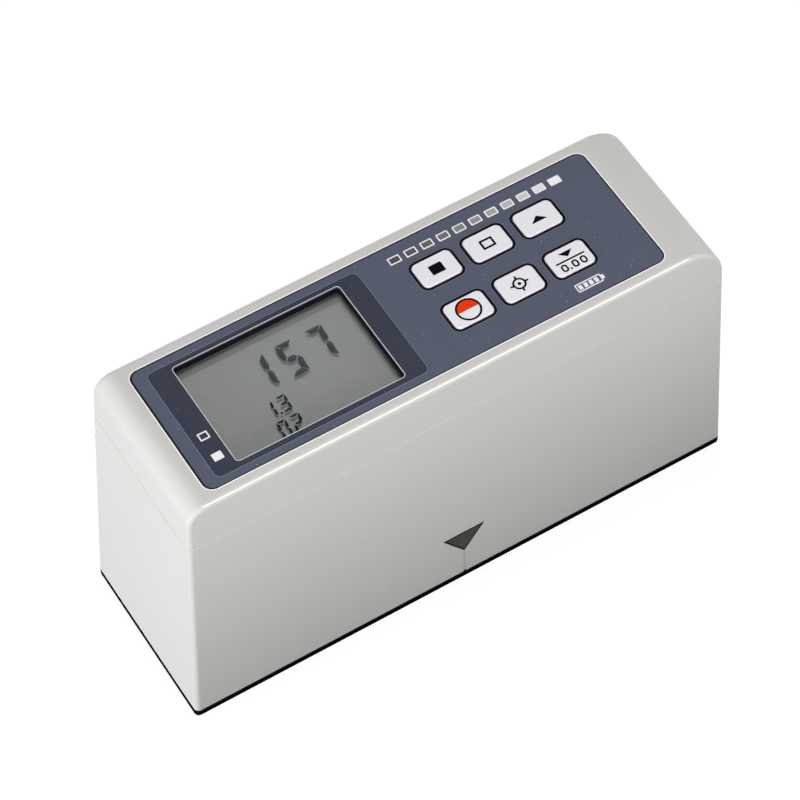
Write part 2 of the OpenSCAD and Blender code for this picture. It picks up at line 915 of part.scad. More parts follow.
module detector_board() {
    color([0.1, 0.35, 0.2])
        difference() {
            block(detector_board_l, tower_s, tower_top, tower_top + board_t);
            at_detector_screws()
                rod(small_screw_r + fit_gap, tower_top - 1, tower_top + board_t + 1);
        }
}

module detector_screws() {
    color([0.7, 0.7, 0.72])
        at_detector_screws()
            translate([0, 0, 2*(tower_top + board_t)])
                mirror([0, 0, 1])
                    pan_screw(tower_top + board_t, tower_top + 2*board_t + detector_screw_l,
                        small_screw_r, 1.6*small_screw_r);
}

// Sockets at the two ends of the ribbon cable
socket_w = ribbon_w + 2;
ribbon_low = [detector_board_l/2 - socket_l/2 - 0.5, tower_top + board_t + socket_h];
ribbon_high = [jack_x - lead_pitch/2 - lead_r - socket_gap - socket_l/2, board_z - socket_h];

module ribbon_sockets() {
    color([0.9, 0.88, 0.8]) {
        translate([ribbon_low[0], 0, 0])
            block(socket_l, socket_w, tower_top + board_t, ribbon_low[1]);
        translate([ribbon_high[0], 0, 0])
            block(socket_l, socket_w, ribbon_high[1], board_z);
    }
}

module ribbon_cable() {
    straight = (ribbon_high[1] - ribbon_low[1])/4;
    half = [ribbon_t/2, 0];
    route = [ribbon_low, ribbon_low + [0, straight], ribbon_high - [0, straight], ribbon_high];
    color([0.6, 0.6, 0.62])
        translate([0, ribbon_w/2, 0])
            rotate([90, 0, 0])
                linear_extrude(ribbon_w)
                    polygon(concat([for (p = route) p - half], [for (i = [3:-1:0]) route[i] + half]));
}

// Battery

module battery_case() {
    inside = holder_s + 2*holder_gap;
    color([0.16, 0.16, 0.17])
        at_battery()
            difference() {
                block(inside + 2*case_wall, inside + 2*case_wall, base_top, case_top);
                block(inside, inside, base_top - 1, case_top - case_wall);
                at_terminals()
                    rod(terminal_r + fit_gap, case_top - case_wall - 1, case_top + 1);
            }
}

module at_terminals() {
    for (s = [-1, 1])
        translate([0, s*cell_o, 0])
            children();
}

module battery_terminals() {
    color([0.8, 0.68, 0.35])
        at_battery()
            at_terminals() {
                rod(terminal_r, holder_top, case_top);
                rod(terminal_r + 1, case_top, case_top + terminal_head_t);
            }
}

module battery_holder() {
    post = 2.2;
    color([0.2, 0.2, 0.21])
        at_battery() {
            block(holder_s, holder_s, holder_z, holder_z + holder_t);
            block(holder_s, holder_s, holder_top - holder_t, holder_top);
            at_corners((holder_s - post)/2, (holder_s - post)/2)
                block(post, post, holder_z, holder_top);
        }
}

// Cells stand in two rows and point up and down in turn
function cell_up(i) = i%2 == 0;
function cell_place(i) = [(i == 0 || i == 3 ? -1 : 1)*cell_o, (i < 2 ? -1 : 1)*cell_o, 0];

module at_cell(i) {
    at_battery()
        translate(cell_place(i))
            children();
}

module battery_cell(i) {
    low = cell_up(i) ? cell_z + spring_h : cell_z;
    tip = cell_up(i) ? low + cell_l - tip_l : low;
    can = cell_up(i) ? low : low + tip_l;
    color([0.25, 0.3, 0.55])
        at_cell(i) {
            rod(cell_d/2, can, can + cell_l - tip_l);
            rod(tip_r, tip, tip + tip_l);
        }
}

// A cone spring: its wire's middle line, and its least gap to itself
spring_steps = 8*spring_turns;
spring_wide = cell_d/2 - 1;
spring_narrow = spring_wide - 0.9*spring_turns;
function spring_point(k) =
    let (t = k/spring_steps, r = spring_wide + (spring_narrow - spring_wide)*t)
    [r*cos(45*k), r*sin(45*k), spring_wire_r + (spring_h - 2*spring_wire_r)*t];
spring_gap = min([for (i = [0:spring_steps], j = [0:spring_steps])
    if (j - i >= 6) norm(spring_point(j) - spring_point(i))]) - 2*spring_wire_r;
echo(spring_gap = spring_gap);

module cone_spring() {
    sides = 6;
    loft([for (k = [0:spring_steps])
        let (
            d = unit(spring_point(min(k + 1, spring_steps)) - spring_point(max(k - 1, 0))),
            u = unit(cross([0, 0, 1], d)),
            v = cross(d, u)
        )
        [for (i = [0:sides - 1])
            spring_point(k) + (spring_wire_r - eps)*(cos(360*i/sides)*u + sin(360*i/sides)*v)]]);
}

module battery_springs() {
    color([0.75, 0.75, 0.77])
        for (i = [0:3])
            at_cell(i)
                if (cell_up(i))
                    translate([0, 0, cell_z])
                        cone_spring();
                else
                    translate([0, 0, stack_top])
                        mirror([0, 0, 1])
                            cone_spring();
}

module contact_plates() {
    plate = cell_d - 1.5;
    color([0.8, 0.8, 0.82])
        at_battery() {
            for (s = [-1, 1]) {
                translate([s*cell_o, 0, 0])
                    block(plate, cell_d + plate, holder_z + holder_t, cell_z);
                translate([0, s*cell_o, 0])
                    block(cell_d + plate, plate, stack_top, stack_top + contact_t);
            }
        }
}

module battery_leads() {
    low = case_top + terminal_head_t;
    rise = board_z - low;
    across = battery_lead_l - rise;
    route = [[0, 0, low], [0, 0, low + rise/2], [-across, 0, board_z - rise/2], [-across, 0, board_z]];
    color([0.8, 0.15, 0.1])
        at_battery()
            at_terminals()
                lead(route, [0, 1, 0]);
}

module battery_door() {
    skin_w = door_w - 2*door_tongue;
    grip_w = 12;
    grip_pitch = 2.4;
    color([0.1, 0.1, 0.11])
        difference() {
            union() {
                translate([door_x0, -skin_w/2, door_sink])
                    cube([door_l, skin_w, door_top - door_sink]);
                translate([door_x0, -door_w/2, door_lip_t + door_gap])
                    cube([door_l, door_w, door_tongue_t]);
            }
            for (k = [0:3])
                translate([body_l/2 - 6 - k*grip_pitch, -grip_w/2, door_sink - 1])
                    cube([grip_pitch/2, grip_w, 1.3]);
        }
}

// Data jack

module data_jack() {
    color([0.12, 0.12, 0.13])
        along_jack()
            difference() {
                union() {
                    rod(jack_barrel_r, jack_pad_y - eps, jack_face_y);
                    block(jack_body_s, jack_body_s, jack_rear_y, jack_pad_y);
                }
                rod(jack_bore_r, jack_face_y - jack_depth, jack_face_y + 1);
            }
}

module jack_nut() {
    color([0.72, 0.72, 0.74])
        along_jack()
            difference() {
                rod(jack_nut_r, jack_seat_y, jack_face_y);
                rod(jack_barrel_r + fit_gap/2, jack_seat_y - 1, jack_face_y + 1);
                block(2*jack_nut_r + 1, 1, jack_face_y - jack_nut_t/2, jack_face_y + 1);
            }
}

module jack_leads() {
    start = [0, jack_rear_y, jack_z];
    finish = [0, jack_rear_y - 4, board_z];
    color([0.2, 0.2, 0.6])
        for (x = [-lead_pitch/2, lead_pitch/2])
            translate([jack_x + x, 0, 0])
                lead([start, start - [0, 6, 0], finish - [0, 0, 14], finish], [1, 0, 0]);
}

// Case fasteners

module base_screws() {
    color([0.7, 0.7, 0.72])
        at_corners(boss_x, column_y)
            sunk_screw(0.2, base_top + column_h - base_screw_stop);
}

module cover_screws() {
    color([0.7, 0.7, 0.72])
        at_corners(boss_x, boss_y)
            pan_screw(lug_top - lug_t, ceiling_z - cover_screw_stop, screw_r, screw_head_r);
}

body_shell();
top_cover();
base_plate();
panel_overlay();
display_window();
lcd_glass();
lcd_frame();
zebra_strips();
main_board();
for (i = [0:5]) {
    key(i);
    plunger(i);
}
switch_bodies();
control_chip();
board_parts();
board_screws();
optics_block();
aperture_ring();
optics_screws();
lamp_led();
lamp_holder();
lamp_lens();
lamp_board();
lamp_leads();
detector_lens();
colour_filter();
photodiode();
detector_board();
detector_screws();
ribbon_sockets();
ribbon_cable();
battery_case();
battery_holder();
for (i = [0:3])
    battery_cell(i);
battery_springs();
contact_plates();
battery_terminals();
battery_leads();
battery_door();
data_jack();
jack_nut();
jack_leads();
base_screws();
cover_screws();
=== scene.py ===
"""Hand-held reflectance meter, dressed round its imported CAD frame.

Sizes are in millimetres in the code and become metres where a mesh is made. X runs along the
box, Y from front to back and Z up, with the origin in the middle of the base.
"""

import functools
import logging
import math
from dataclasses import dataclass
from enum import Enum
from typing import Sequence

import bmesh
import bpy
from mathutils import Matrix, Vector


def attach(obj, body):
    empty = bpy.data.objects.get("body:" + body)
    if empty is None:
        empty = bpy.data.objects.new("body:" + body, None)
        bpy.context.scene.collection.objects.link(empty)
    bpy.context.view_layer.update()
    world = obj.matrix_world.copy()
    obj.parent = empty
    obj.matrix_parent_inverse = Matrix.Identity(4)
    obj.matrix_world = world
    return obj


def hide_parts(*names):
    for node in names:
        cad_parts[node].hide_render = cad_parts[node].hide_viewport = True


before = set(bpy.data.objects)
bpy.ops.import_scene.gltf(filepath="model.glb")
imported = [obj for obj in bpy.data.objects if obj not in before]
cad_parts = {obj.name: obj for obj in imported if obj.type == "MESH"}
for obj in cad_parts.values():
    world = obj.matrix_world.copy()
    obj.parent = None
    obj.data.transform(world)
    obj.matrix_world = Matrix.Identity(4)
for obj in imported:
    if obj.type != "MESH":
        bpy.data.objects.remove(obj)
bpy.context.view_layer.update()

LOG = logging.getLogger("reflectance_meter")

Colour = tuple[float, float, float]
Direction = tuple[float, float, float]
Place = tuple[float, float, float]
Plan = Sequence[tuple[float, float]]
Ring = list[bmesh.types.BMVert]

MM = 0.001
HOUSING = "housing"
WHITE: Colour = (1.0, 1.0, 1.0)
QUARTER = math.pi / 2
# The signs of X and Y at the four corners of an outline, counter-clockwise.
CORNERS = ((1, 1), (-1, 1), (-1, -1), (1, -1))
# Steps in a corner of a plan and of a small sign, and in the round edges of a sheet and a moulding.
CORNER_STEPS, SIGN_STEPS, SHEET_STEPS, MOULDED_STEPS = 8, 3, 4, 5
# Edges that turn more than this many degrees stay sharp, on new pieces and on kept CAD nodes.
PIECE_TURN, NODE_TURN = 38.0, 30.0
# Most of a noise's values lie between these two.
NOISE_LOW, NOISE_HIGH = 0.3, 0.7
BROAD_DETAIL, FINE_DETAIL = 3.0, 4.0
ROUGH_SWING = 0.05


def from_screen(red: int, green: int, blue: int) -> Colour:
    """Turns a colour as seen on a screen into the light values that a shader takes.

    Args:
        red: Red, 0 to 255.
        green: Green, 0 to 255.
        blue: Blue, 0 to 255.

    Returns:
        The three linear values.
    """
    def linear(value: int) -> float:
        """Undoes the usual sRGB curve for one channel."""
        share = value / 255
        return share / 12.92 if share <= 0.04045 else ((share + 0.055) / 1.055) ** 2.4

    return linear(red), linear(green), linear(blue)


def shade(colour: Colour, by: float = 1.0) -> tuple[float, float, float, float]:
    """Gives a colour made lighter or darker, with full alpha."""
    return tuple(min(1.0, c * by) for c in colour) + (1.0,)


class Grain(Enum):
    """How the fine relief of a surface runs."""

    MOULDED = (1.0, 1.0, 1.0)
    BRUSHED = (1.0, 14.0, 14.0)
    TURNED = (9.0, 9.0, 1.0)


class Speck(Enum):
    """The stray marks on a surface: how far apart they are, how wide, and how light."""

    NONE = (0.0, 0.0, 1.0)
    DARK_DUST = (9.0, 0.014, 0.45)
    PALE_DUST = (2.2, 0.07, 3.0)


class NodeTree:
    """A short way to add and link the shader nodes of a material or of the sky."""

    # Where a mix node keeps its colour sockets.
    MIX_SHARE, MIX_LOW, MIX_HIGH, MIX_RESULT = 0, 6, 7, 2

    def __init__(self, owner: bpy.types.Material | bpy.types.World) -> None:
        """Empties the owner's tree and adds its output.

        Args:
            owner: The material or the world.
        """
        self.owner = owner
        owner.use_nodes = True
        self.tree = owner.node_tree
        self.tree.nodes.clear()
        self.output = self.add("OutputWorld" if isinstance(owner, bpy.types.World)
                               else "OutputMaterial")

    def put(self, socket: bpy.types.NodeSocket, value: object) -> None:
        """Links an output to an input, or sets the input's own value.

        Args:
            socket: The input.
            value: An output socket or a plain value.
        """
        if isinstance(value, bpy.types.NodeSocket):
            self.tree.links.new(value, socket)
        else:
            socket.default_value = value

    def add(self, kind: str, **inputs: object) -> bpy.types.Node:
        """Adds a node and fills its inputs by their names.

        Args:
            kind: The node's type, without its leading ShaderNode.
            inputs: A value or an output socket for each input, with _ for a space in its name.

        Returns:
            The new node.
        """
        node = self.tree.nodes.new("ShaderNode" + kind)
        for key, value in inputs.items():
            self.put(node.inputs[key.replace("_", " ")], value)
        return node

    def fill(self, kind: str, *values: object, **options: object) -> bpy.types.Node:
        """Adds a node, sets its options and fills its first inputs in their order.

        Args:
            kind: The node's type, without its leading ShaderNode.
            values: A value or an output socket for each input.
            options: The node's own settings, such as its operation.

        Returns:
            The new node.
        """
        node = self.add(kind)
        for option, value in options.items():
            setattr(node, option, value)
        for socket, value in zip(node.inputs, values):
            self.put(socket, value)
        return node

    def mix(self, share: object, low: object, high: object) -> bpy.types.NodeSocket:
        """Mixes two colours.

        Args:
            share: The part of the second colour, a value or a socket.
            low: The first colour.
            high: The second colour.

        Returns:
            The mixed colour's socket.
        """
        node = self.fill("Mix", data_type="RGBA")
        for index, value in ((self.MIX_SHARE, share), (self.MIX_LOW, low), (self.MIX_HIGH, high)):
            self.put(node.inputs[index], value)
        return node.outputs[self.MIX_RESULT]

    def span(self, value: bpy.types.NodeSocket, low: float, high: float,
             start: float = NOISE_LOW, end: float = NOISE_HIGH) -> bpy.types.NodeSocket:
        """Maps a value from one range to another.

        Args:
            value: The value's socket.
            low: Result at the start.
            high: Result at the end.
            start: Where the range starts.
            end: Where it ends.

        Returns:
            The mapped value's socket.
        """
        node = self.add("MapRange", Value=value, From_Min=start, From_Max=end, To_Min=low,
                        To_Max=high)
        return node.outputs["Result"]

    def noise(self, place: bpy.types.NodeSocket, size_mm: float,
              detail: float) -> bpy.types.NodeSocket:
        """Gives soft noise with features of a size in millimetres."""
        node = self.add("TexNoise", Vector=place, Scale=1 / (size_mm * MM), Detail=detail)
        return node.outputs["Fac"]

    def sees_backdrop(self) -> bpy.types.NodeSocket:
        """Finds the rays that see the pale background.

        Returns:
            1 for rays from the camera, from shiny faces and through glass, else 0.
        """
        path = self.add("LightPath").outputs
        seen = path["Is Camera Ray"]
        for name in ("Is Glossy Ray", "Is Transmission Ray"):
            seen = self.fill("Math", seen, path[name], operation="MAXIMUM").outputs[0]
        return seen

    def show(self, surface: bpy.types.Node) -> bpy.types.Material | bpy.types.World:
        """Sends a shader node to the output and gives back the owner."""
        self.put(self.output.inputs["Surface"], surface.outputs[0])
        return self.owner


@dataclass(frozen=True)
class Finish:
    """A moulded, printed or metal surface, with its drift of colour, its fine relief and a tint on
    the faces that look one way.
    """

    name: str
    colour: Colour
    roughness: float = 0.5
    drift: float = 0.03
    drift_mm: float = 14.0
    grain_mm: float = 0.22
    grain_depth_mm: float = 0.004
    grain: Grain = Grain.MOULDED
    speck: Speck = Speck.NONE
    metallic: float = 0.0
    specular: float = 0.5
    coat: float = 0.0
    coat_roughness: float = 0.12
    # A tint on the faces that look one way: on the shell it is a painted highlight, on the base a
    # lighter black.
    tinted: float = 0.0
    tinted_colour: Colour = WHITE
    tinted_facing: Direction = (0.0, 0.588, 0.809)
    tinted_from: float = 0.983
    tinted_full: float = 0.997
    pore_share: float = 0.6
    pore_drift: float = 1.5
    relief: float = 0.6
    speck_core: float = 0.6

    @functools.lru_cache
    def material(self) -> bpy.types.Material:
        """Builds the finish's material once.

        Returns:
            The material.
        """
        nodes = NodeTree(bpy.data.materials.new(self.name))
        place = nodes.add("TexCoord").outputs["Object"]
        run = nodes.add("Mapping", Vector=place, Scale=self.grain.value).outputs["Vector"]
        broad = nodes.noise(place, self.drift_mm, BROAD_DETAIL)
        fine = nodes.noise(run, self.grain_mm, FINE_DETAIL)
        colour = nodes.mix(nodes.span(broad, 0.0, 1.0), shade(self.colour, 1 - self.drift),
                           shade(self.colour, 1 + self.drift))
        colour = nodes.mix(nodes.span(fine, 0.0, self.pore_share), colour,
                           shade(self.colour, 1 - self.pore_drift * self.drift))
        if self.speck is not Speck.NONE:
            apart_mm, wide, light = self.speck.value
            cells = nodes.add("TexVoronoi", Vector=place, Scale=1 / (apart_mm * MM))
            near = nodes.span(cells.outputs["Distance"], 1.0, 0.0, wide * self.speck_core, wide)
            colour = nodes.mix(near, colour, shade(self.colour, light))
        if self.tinted > 0:
            colour = nodes.mix(self.tint_share(nodes), colour, shade(self.tinted_colour))
        bump = nodes.add("Bump", Height=fine, Strength=self.relief,
                         Distance=self.grain_depth_mm * MM)
        return nodes.show(nodes.add(
            "BsdfPrincipled", Base_Color=colour, Metallic=self.metallic,
            Roughness=nodes.span(fine, self.roughness - ROUGH_SWING, self.roughness + ROUGH_SWING),
            Normal=bump.outputs["Normal"], Coat_Weight=self.coat,
            Coat_Roughness=self.coat_roughness, Specular_IOR_Level=self.specular))

    def tint_share(self, nodes: NodeTree) -> bpy.types.NodeSocket:
        """Finds where the surface faces one way, which takes the tint: a painted highlight on the
        shell, a lighter black on the base.

        Args:
            nodes: The material's nodes.

        Returns:
            The share of the tint.
        """
        normal = nodes.add("NewGeometry").outputs["Normal"]
        facing = nodes.fill("VectorMath", normal, operation="ABSOLUTE").outputs["Vector"]
        along = nodes.fill("VectorMath", facing, self.tinted_facing, operation="DOT_PRODUCT")
        return nodes.span(along.outputs["Value"], 0.0, self.tinted, self.tinted_from, self.tinted_full)


@dataclass(frozen=True)
class ClearFinish:
    """A thin clear or tinted sheet, coated so that it shines only at a low angle."""

    name: str
    tint: Colour
    ior: float = 1.45
    roughness: float = 0.04
    coating: float = 0.05
    smear_mm: float = 18.0

    @functools.lru_cache
    def material(self) -> bpy.types.Material:
        """Builds the sheet's material once.

        Returns:
            The material.
        """
        nodes = NodeTree(bpy.data.materials.new(self.name))
        smear = nodes.noise(nodes.add("TexCoord").outputs["Object"], self.smear_mm, BROAD_DETAIL)
        through = nodes.add("BsdfTransparent", Color=shade(self.tint))
        shine = nodes.add("BsdfGlossy", Roughness=nodes.span(smear, self.roughness,
                                                             self.roughness + ROUGH_SWING))
        edge = nodes.add("Fresnel", IOR=self.ior).outputs["Fac"]
        behind = nodes.add("NewGeometry").outputs["Backfacing"]
        near = nodes.fill("Math", behind, -1.0, edge, operation="MULTIPLY_ADD").outputs[0]
        shown = nodes.fill("Math", near, self.coating, operation="SUBTRACT", use_clamp=True)
        return nodes.show(nodes.fill("MixShader", shown.outputs[0], through.outputs[0],
                                     shine.outputs[0]))


AnyFinish = Finish | ClearFinish
# The shell's tint is a painted highlight: a near-white line along the long top edges, on the
# chamfer below the seam and on the recess's lip.
SHELL = Finish("shell_grey", from_screen(203, 201, 198), 0.5, 0.012, 30.0, 0.3, 0.0035,
               speck=Speck.DARK_DUST, specular=0.2, tinted=0.9,
               tinted_colour=from_screen(250, 248, 243))
# The base's faces that look up or down take a lighter black than its sides.
BASE = Finish("base_black", (0.003, 0.003, 0.0035), 0.6, 0.2, grain_mm=0.3, grain_depth_mm=0.01,
              specular=0.0, tinted=0.9, tinted_colour=(0.022, 0.022, 0.024),
              tinted_facing=(0.0, 0.0, 1.0))
DOOR = Finish("door_black", (0.02, 0.02, 0.022), 0.5, 0.15, grain_mm=0.3, grain_depth_mm=0.01,
              specular=0.3)
FILM = Finish("panel_film", from_screen(88, 94, 110), 0.5, 0.03, 20.0, 0.14, 0.0015,
              speck=Speck.PALE_DUST, specular=0.04)
FILM_DARK = Finish("panel_dark_print", from_screen(58, 63, 76), 0.5, 0.04, 16.0, 0.14, 0.0015,
                   speck=Speck.PALE_DUST, specular=0.04)
FILM_LINE = Finish("panel_pale_line", from_screen(130, 138, 156), 0.45, specular=0.05)
# Painted shade: the dark band just inside the panel's edge, where the film meets the recess's wall,
# wider on the left.
FILM_EDGE_SHADE = Finish("panel_edge_shade", from_screen(22, 23, 28), 0.45, 0.05, specular=0.05)
# A painted highlight on the cut edge round the display's opening.
WINDOW_EDGE_HIGHLIGHT = Finish("window_edge_highlight", from_screen(214, 217, 214), 0.4, 0.06, 6.0, specular=0.2)
# A painted highlight: the near-white line round the panel's edge, which stands a little above the
# recess's lip.
RIM_HIGHLIGHT = Finish("panel_rim_highlight", from_screen(246, 246, 244), 0.45, 0.03, 6.0, specular=0.2)
KEY_LINE = Finish("key_pale_line", from_screen(120, 126, 142), 0.45, 0.06, 6.0, specular=0.05)
INK_BLACK = Finish("ink_black", from_screen(8, 8, 10), 0.5, 0.15, 3.0, 0.1, 0.002, specular=0.02)
INK_WHITE = Finish("ink_white", from_screen(240, 240, 242), 0.42, 0.02, 3.0, 0.1, 0.002,
                   specular=0.2)
INK_RED = Finish("ink_red", from_screen(234, 58, 10), 0.5, 0.05, 2.0, 0.1, 0.002, specular=0.06)
KEY_WHITE = Finish("key_white", from_screen(233, 233, 238), 0.4, 0.012, 6.0, 0.16, 0.002,
                   specular=0.2)
MARK_GREY = Finish("mark_dark_grey", from_screen(64, 61, 59), 0.55, 0.1, 4.0, 0.15, 0.01,
                   specular=0.1)
BEZEL = Finish("bezel_black", (0.006, 0.006, 0.007), 0.7, 0.2, grain_depth_mm=0.001, specular=0.06)
CELL_BACK = Finish("display_reflector", from_screen(132, 135, 133), 0.07, 0.006, 22.0, 0.6, 0.0002,
                   specular=1.0)
PANE = ClearFinish("clear_pane", (0.99, 0.992, 0.99), 1.4)
CELL_GLASS = ClearFinish("display_glass", (0.987, 0.99, 0.986), 1.45, 0.01)
SEGMENT = ClearFinish("display_segment", (0.75, 0.745, 0.8), 1.02, 0.3)
SEGMENT_FINE = ClearFinish("display_segment_fine", (0.4, 0.4, 0.43), 1.02, 0.3)
LENS = ClearFinish("lens_glass", (0.92, 0.95, 0.96), 1.5)
STEEL = Finish("plated_steel", (0.56, 0.56, 0.57), 0.3, 0.06, 4.0, 0.2, 0.004, Grain.TURNED,
               metallic=1.0)
NICKEL = Finish("nickel", (0.62, 0.6, 0.56), 0.22, 0.05, 3.0, 0.15, 0.004, Grain.TURNED,
                metallic=1.0)
BRASS = Finish("brass", (0.6, 0.42, 0.16), 0.32, 0.08, 3.0, 0.2, 0.004, Grain.BRUSHED, metallic=1.0)
CAN = Finish("plain_can", (0.55, 0.56, 0.57), 0.35, 0.06, 5.0, 0.2, 0.004, Grain.BRUSHED,
             metallic=1.0)
SLEEVE = Finish("cell_sleeve", (0.03, 0.05, 0.16), 0.3, 0.08, 9.0, 0.3, 0.002, coat=0.4)
BLACK_MOULDING = Finish("black_moulding", (0.018, 0.018, 0.02), 0.5, 0.15, grain_depth_mm=0.008)
DEAD_BLACK = Finish("dead_black", (0.008, 0.008, 0.009), 0.75, 0.2, grain_mm=0.35,
                    grain_depth_mm=0.02)
SOLDER_MASK = Finish("solder_mask", (0.012, 0.1, 0.04), 0.35, 0.25, 2.5, 0.3, 0.006, coat=0.3)
RUBBER = Finish("strip_rubber", (0.3, 0.11, 0.16), 0.7, 0.08, 2.0, 0.2, 0.01)
PLUNGER = Finish("plunger_red", (0.35, 0.03, 0.015), 0.5, 0.08, 2.0)
FILTER = Finish("filter_glass", (0.05, 0.2, 0.04), 0.08, 0.05, 5.0, coat=0.6)
LED = Finish("led_epoxy", (0.75, 0.75, 0.6), 0.12, 0.04, 4.0, coat=0.6)
RED_WIRE = Finish("red_wire", (0.35, 0.012, 0.01), 0.45, 0.08, 5.0, 0.3, 0.006)
BLUE_WIRE = Finish("blue_wire", (0.012, 0.02, 0.2), 0.45, 0.08, 5.0, 0.3, 0.006)
RIBBON = Finish("ribbon_grey", (0.27, 0.27, 0.28), 0.5, 0.06, 3.0, 0.3, 0.006, Grain.BRUSHED)
SOCKET = Finish("socket_cream", (0.66, 0.6, 0.45), 0.5, 0.05, 4.0)


@dataclass(frozen=True)
class RoundRect:
    """A rectangle with rounded corners."""

    x: float
    y: float
    length: float
    width: float
    radius: float

    # A corner never gets sharper than this when the shape shrinks.
    LEAST_R = 0.02

    def grown(self, by: float) -> "RoundRect":
        """Gives the same shape, larger by a margin all round."""
        return RoundRect(self.x, self.y, self.length + 2 * by, self.width + 2 * by,
                         max(self.radius + by, self.LEAST_R))

    def at(self, x: float, y: float) -> "RoundRect":
        """Gives the same shape at another place."""
        return RoundRect(x, y, self.length, self.width, self.radius)

    def plan(self, steps: int = CORNER_STEPS) -> Plan:
        """Gives the outline, counter-clockwise from the right.

        Args:
            steps: Steps in each corner.

        Returns:
            The outline's points.
        """
        r = self.radius
        points = []
        for corner, (sx, sy) in enumerate(CORNERS):
            for i in range(steps + 1):
                turn = QUARTER * (corner + i / steps)
                points.append((self.x + sx * (self.length / 2 - r) + r * math.cos(turn),
                               self.y + sy * (self.width / 2 - r) + r * math.sin(turn)))
        return points


def disc(x: float, y: float, radius: float, end: float = 360.0, steps: int = 40) -> Plan:
    """Gives a circle, or an arc that starts at the right.

    Args:
        x: The middle along X.
        y: The middle along Y.
        radius: The radius.
        end: Where an arc ends, in degrees.
        steps: How many steps it takes.

    Returns:
        The points.
    """
    count = steps if end >= 360 else steps + 1
    turns = [math.radians(end * i / steps) for i in range(count)]
    return [(x + radius * math.cos(t), y + radius * math.sin(t)) for t in turns]


def bar(x0: float, y0: float, x1: float, y1: float) -> Plan:
    """Gives the corners of an upright rectangle."""
    return [(x0, y0), (x1, y0), (x1, y1), (x0, y1)]


def moved(plan: Plan, x: float, y: float) -> Plan:
    """Gives an outline shifted along X and Y."""
    return [(px + x, py + y) for px, py in plan]


def quarter(steps: int) -> Plan:
    """Gives a rounded edge of radius 1, from its foot up.

    Args:
        steps: How many steps it takes.

    Returns:
        How far each point lies inwards and down from the sharp corner.
    """
    turns = [QUARTER * i / steps for i in range(steps + 1)]
    return [(1 - math.cos(turn), 1 - math.sin(turn)) for turn in turns]


def add_object(name: str, data: bpy.types.ID) -> bpy.types.Object:
    """Puts a mesh, a lamp or a camera into the scene.

    Args:
        name: The object's name.
        data: What it holds.

    Returns:
        The object.
    """
    obj = bpy.data.objects.new(name, data)
    bpy.context.scene.collection.objects.link(obj)
    return obj


def soften(mesh: bpy.types.Mesh, turn: float) -> None:
    """Shades a mesh smooth, except at edges that turn more than an angle in degrees."""
    mesh.shade_smooth()
    mesh.set_sharp_from_angle(angle=math.radians(turn))


def finish_mesh(mesh: bpy.types.Mesh, finish: AnyFinish) -> None:
    """Gives a mesh one finish all over."""
    mesh.materials.clear()
    mesh.materials.append(finish.material())


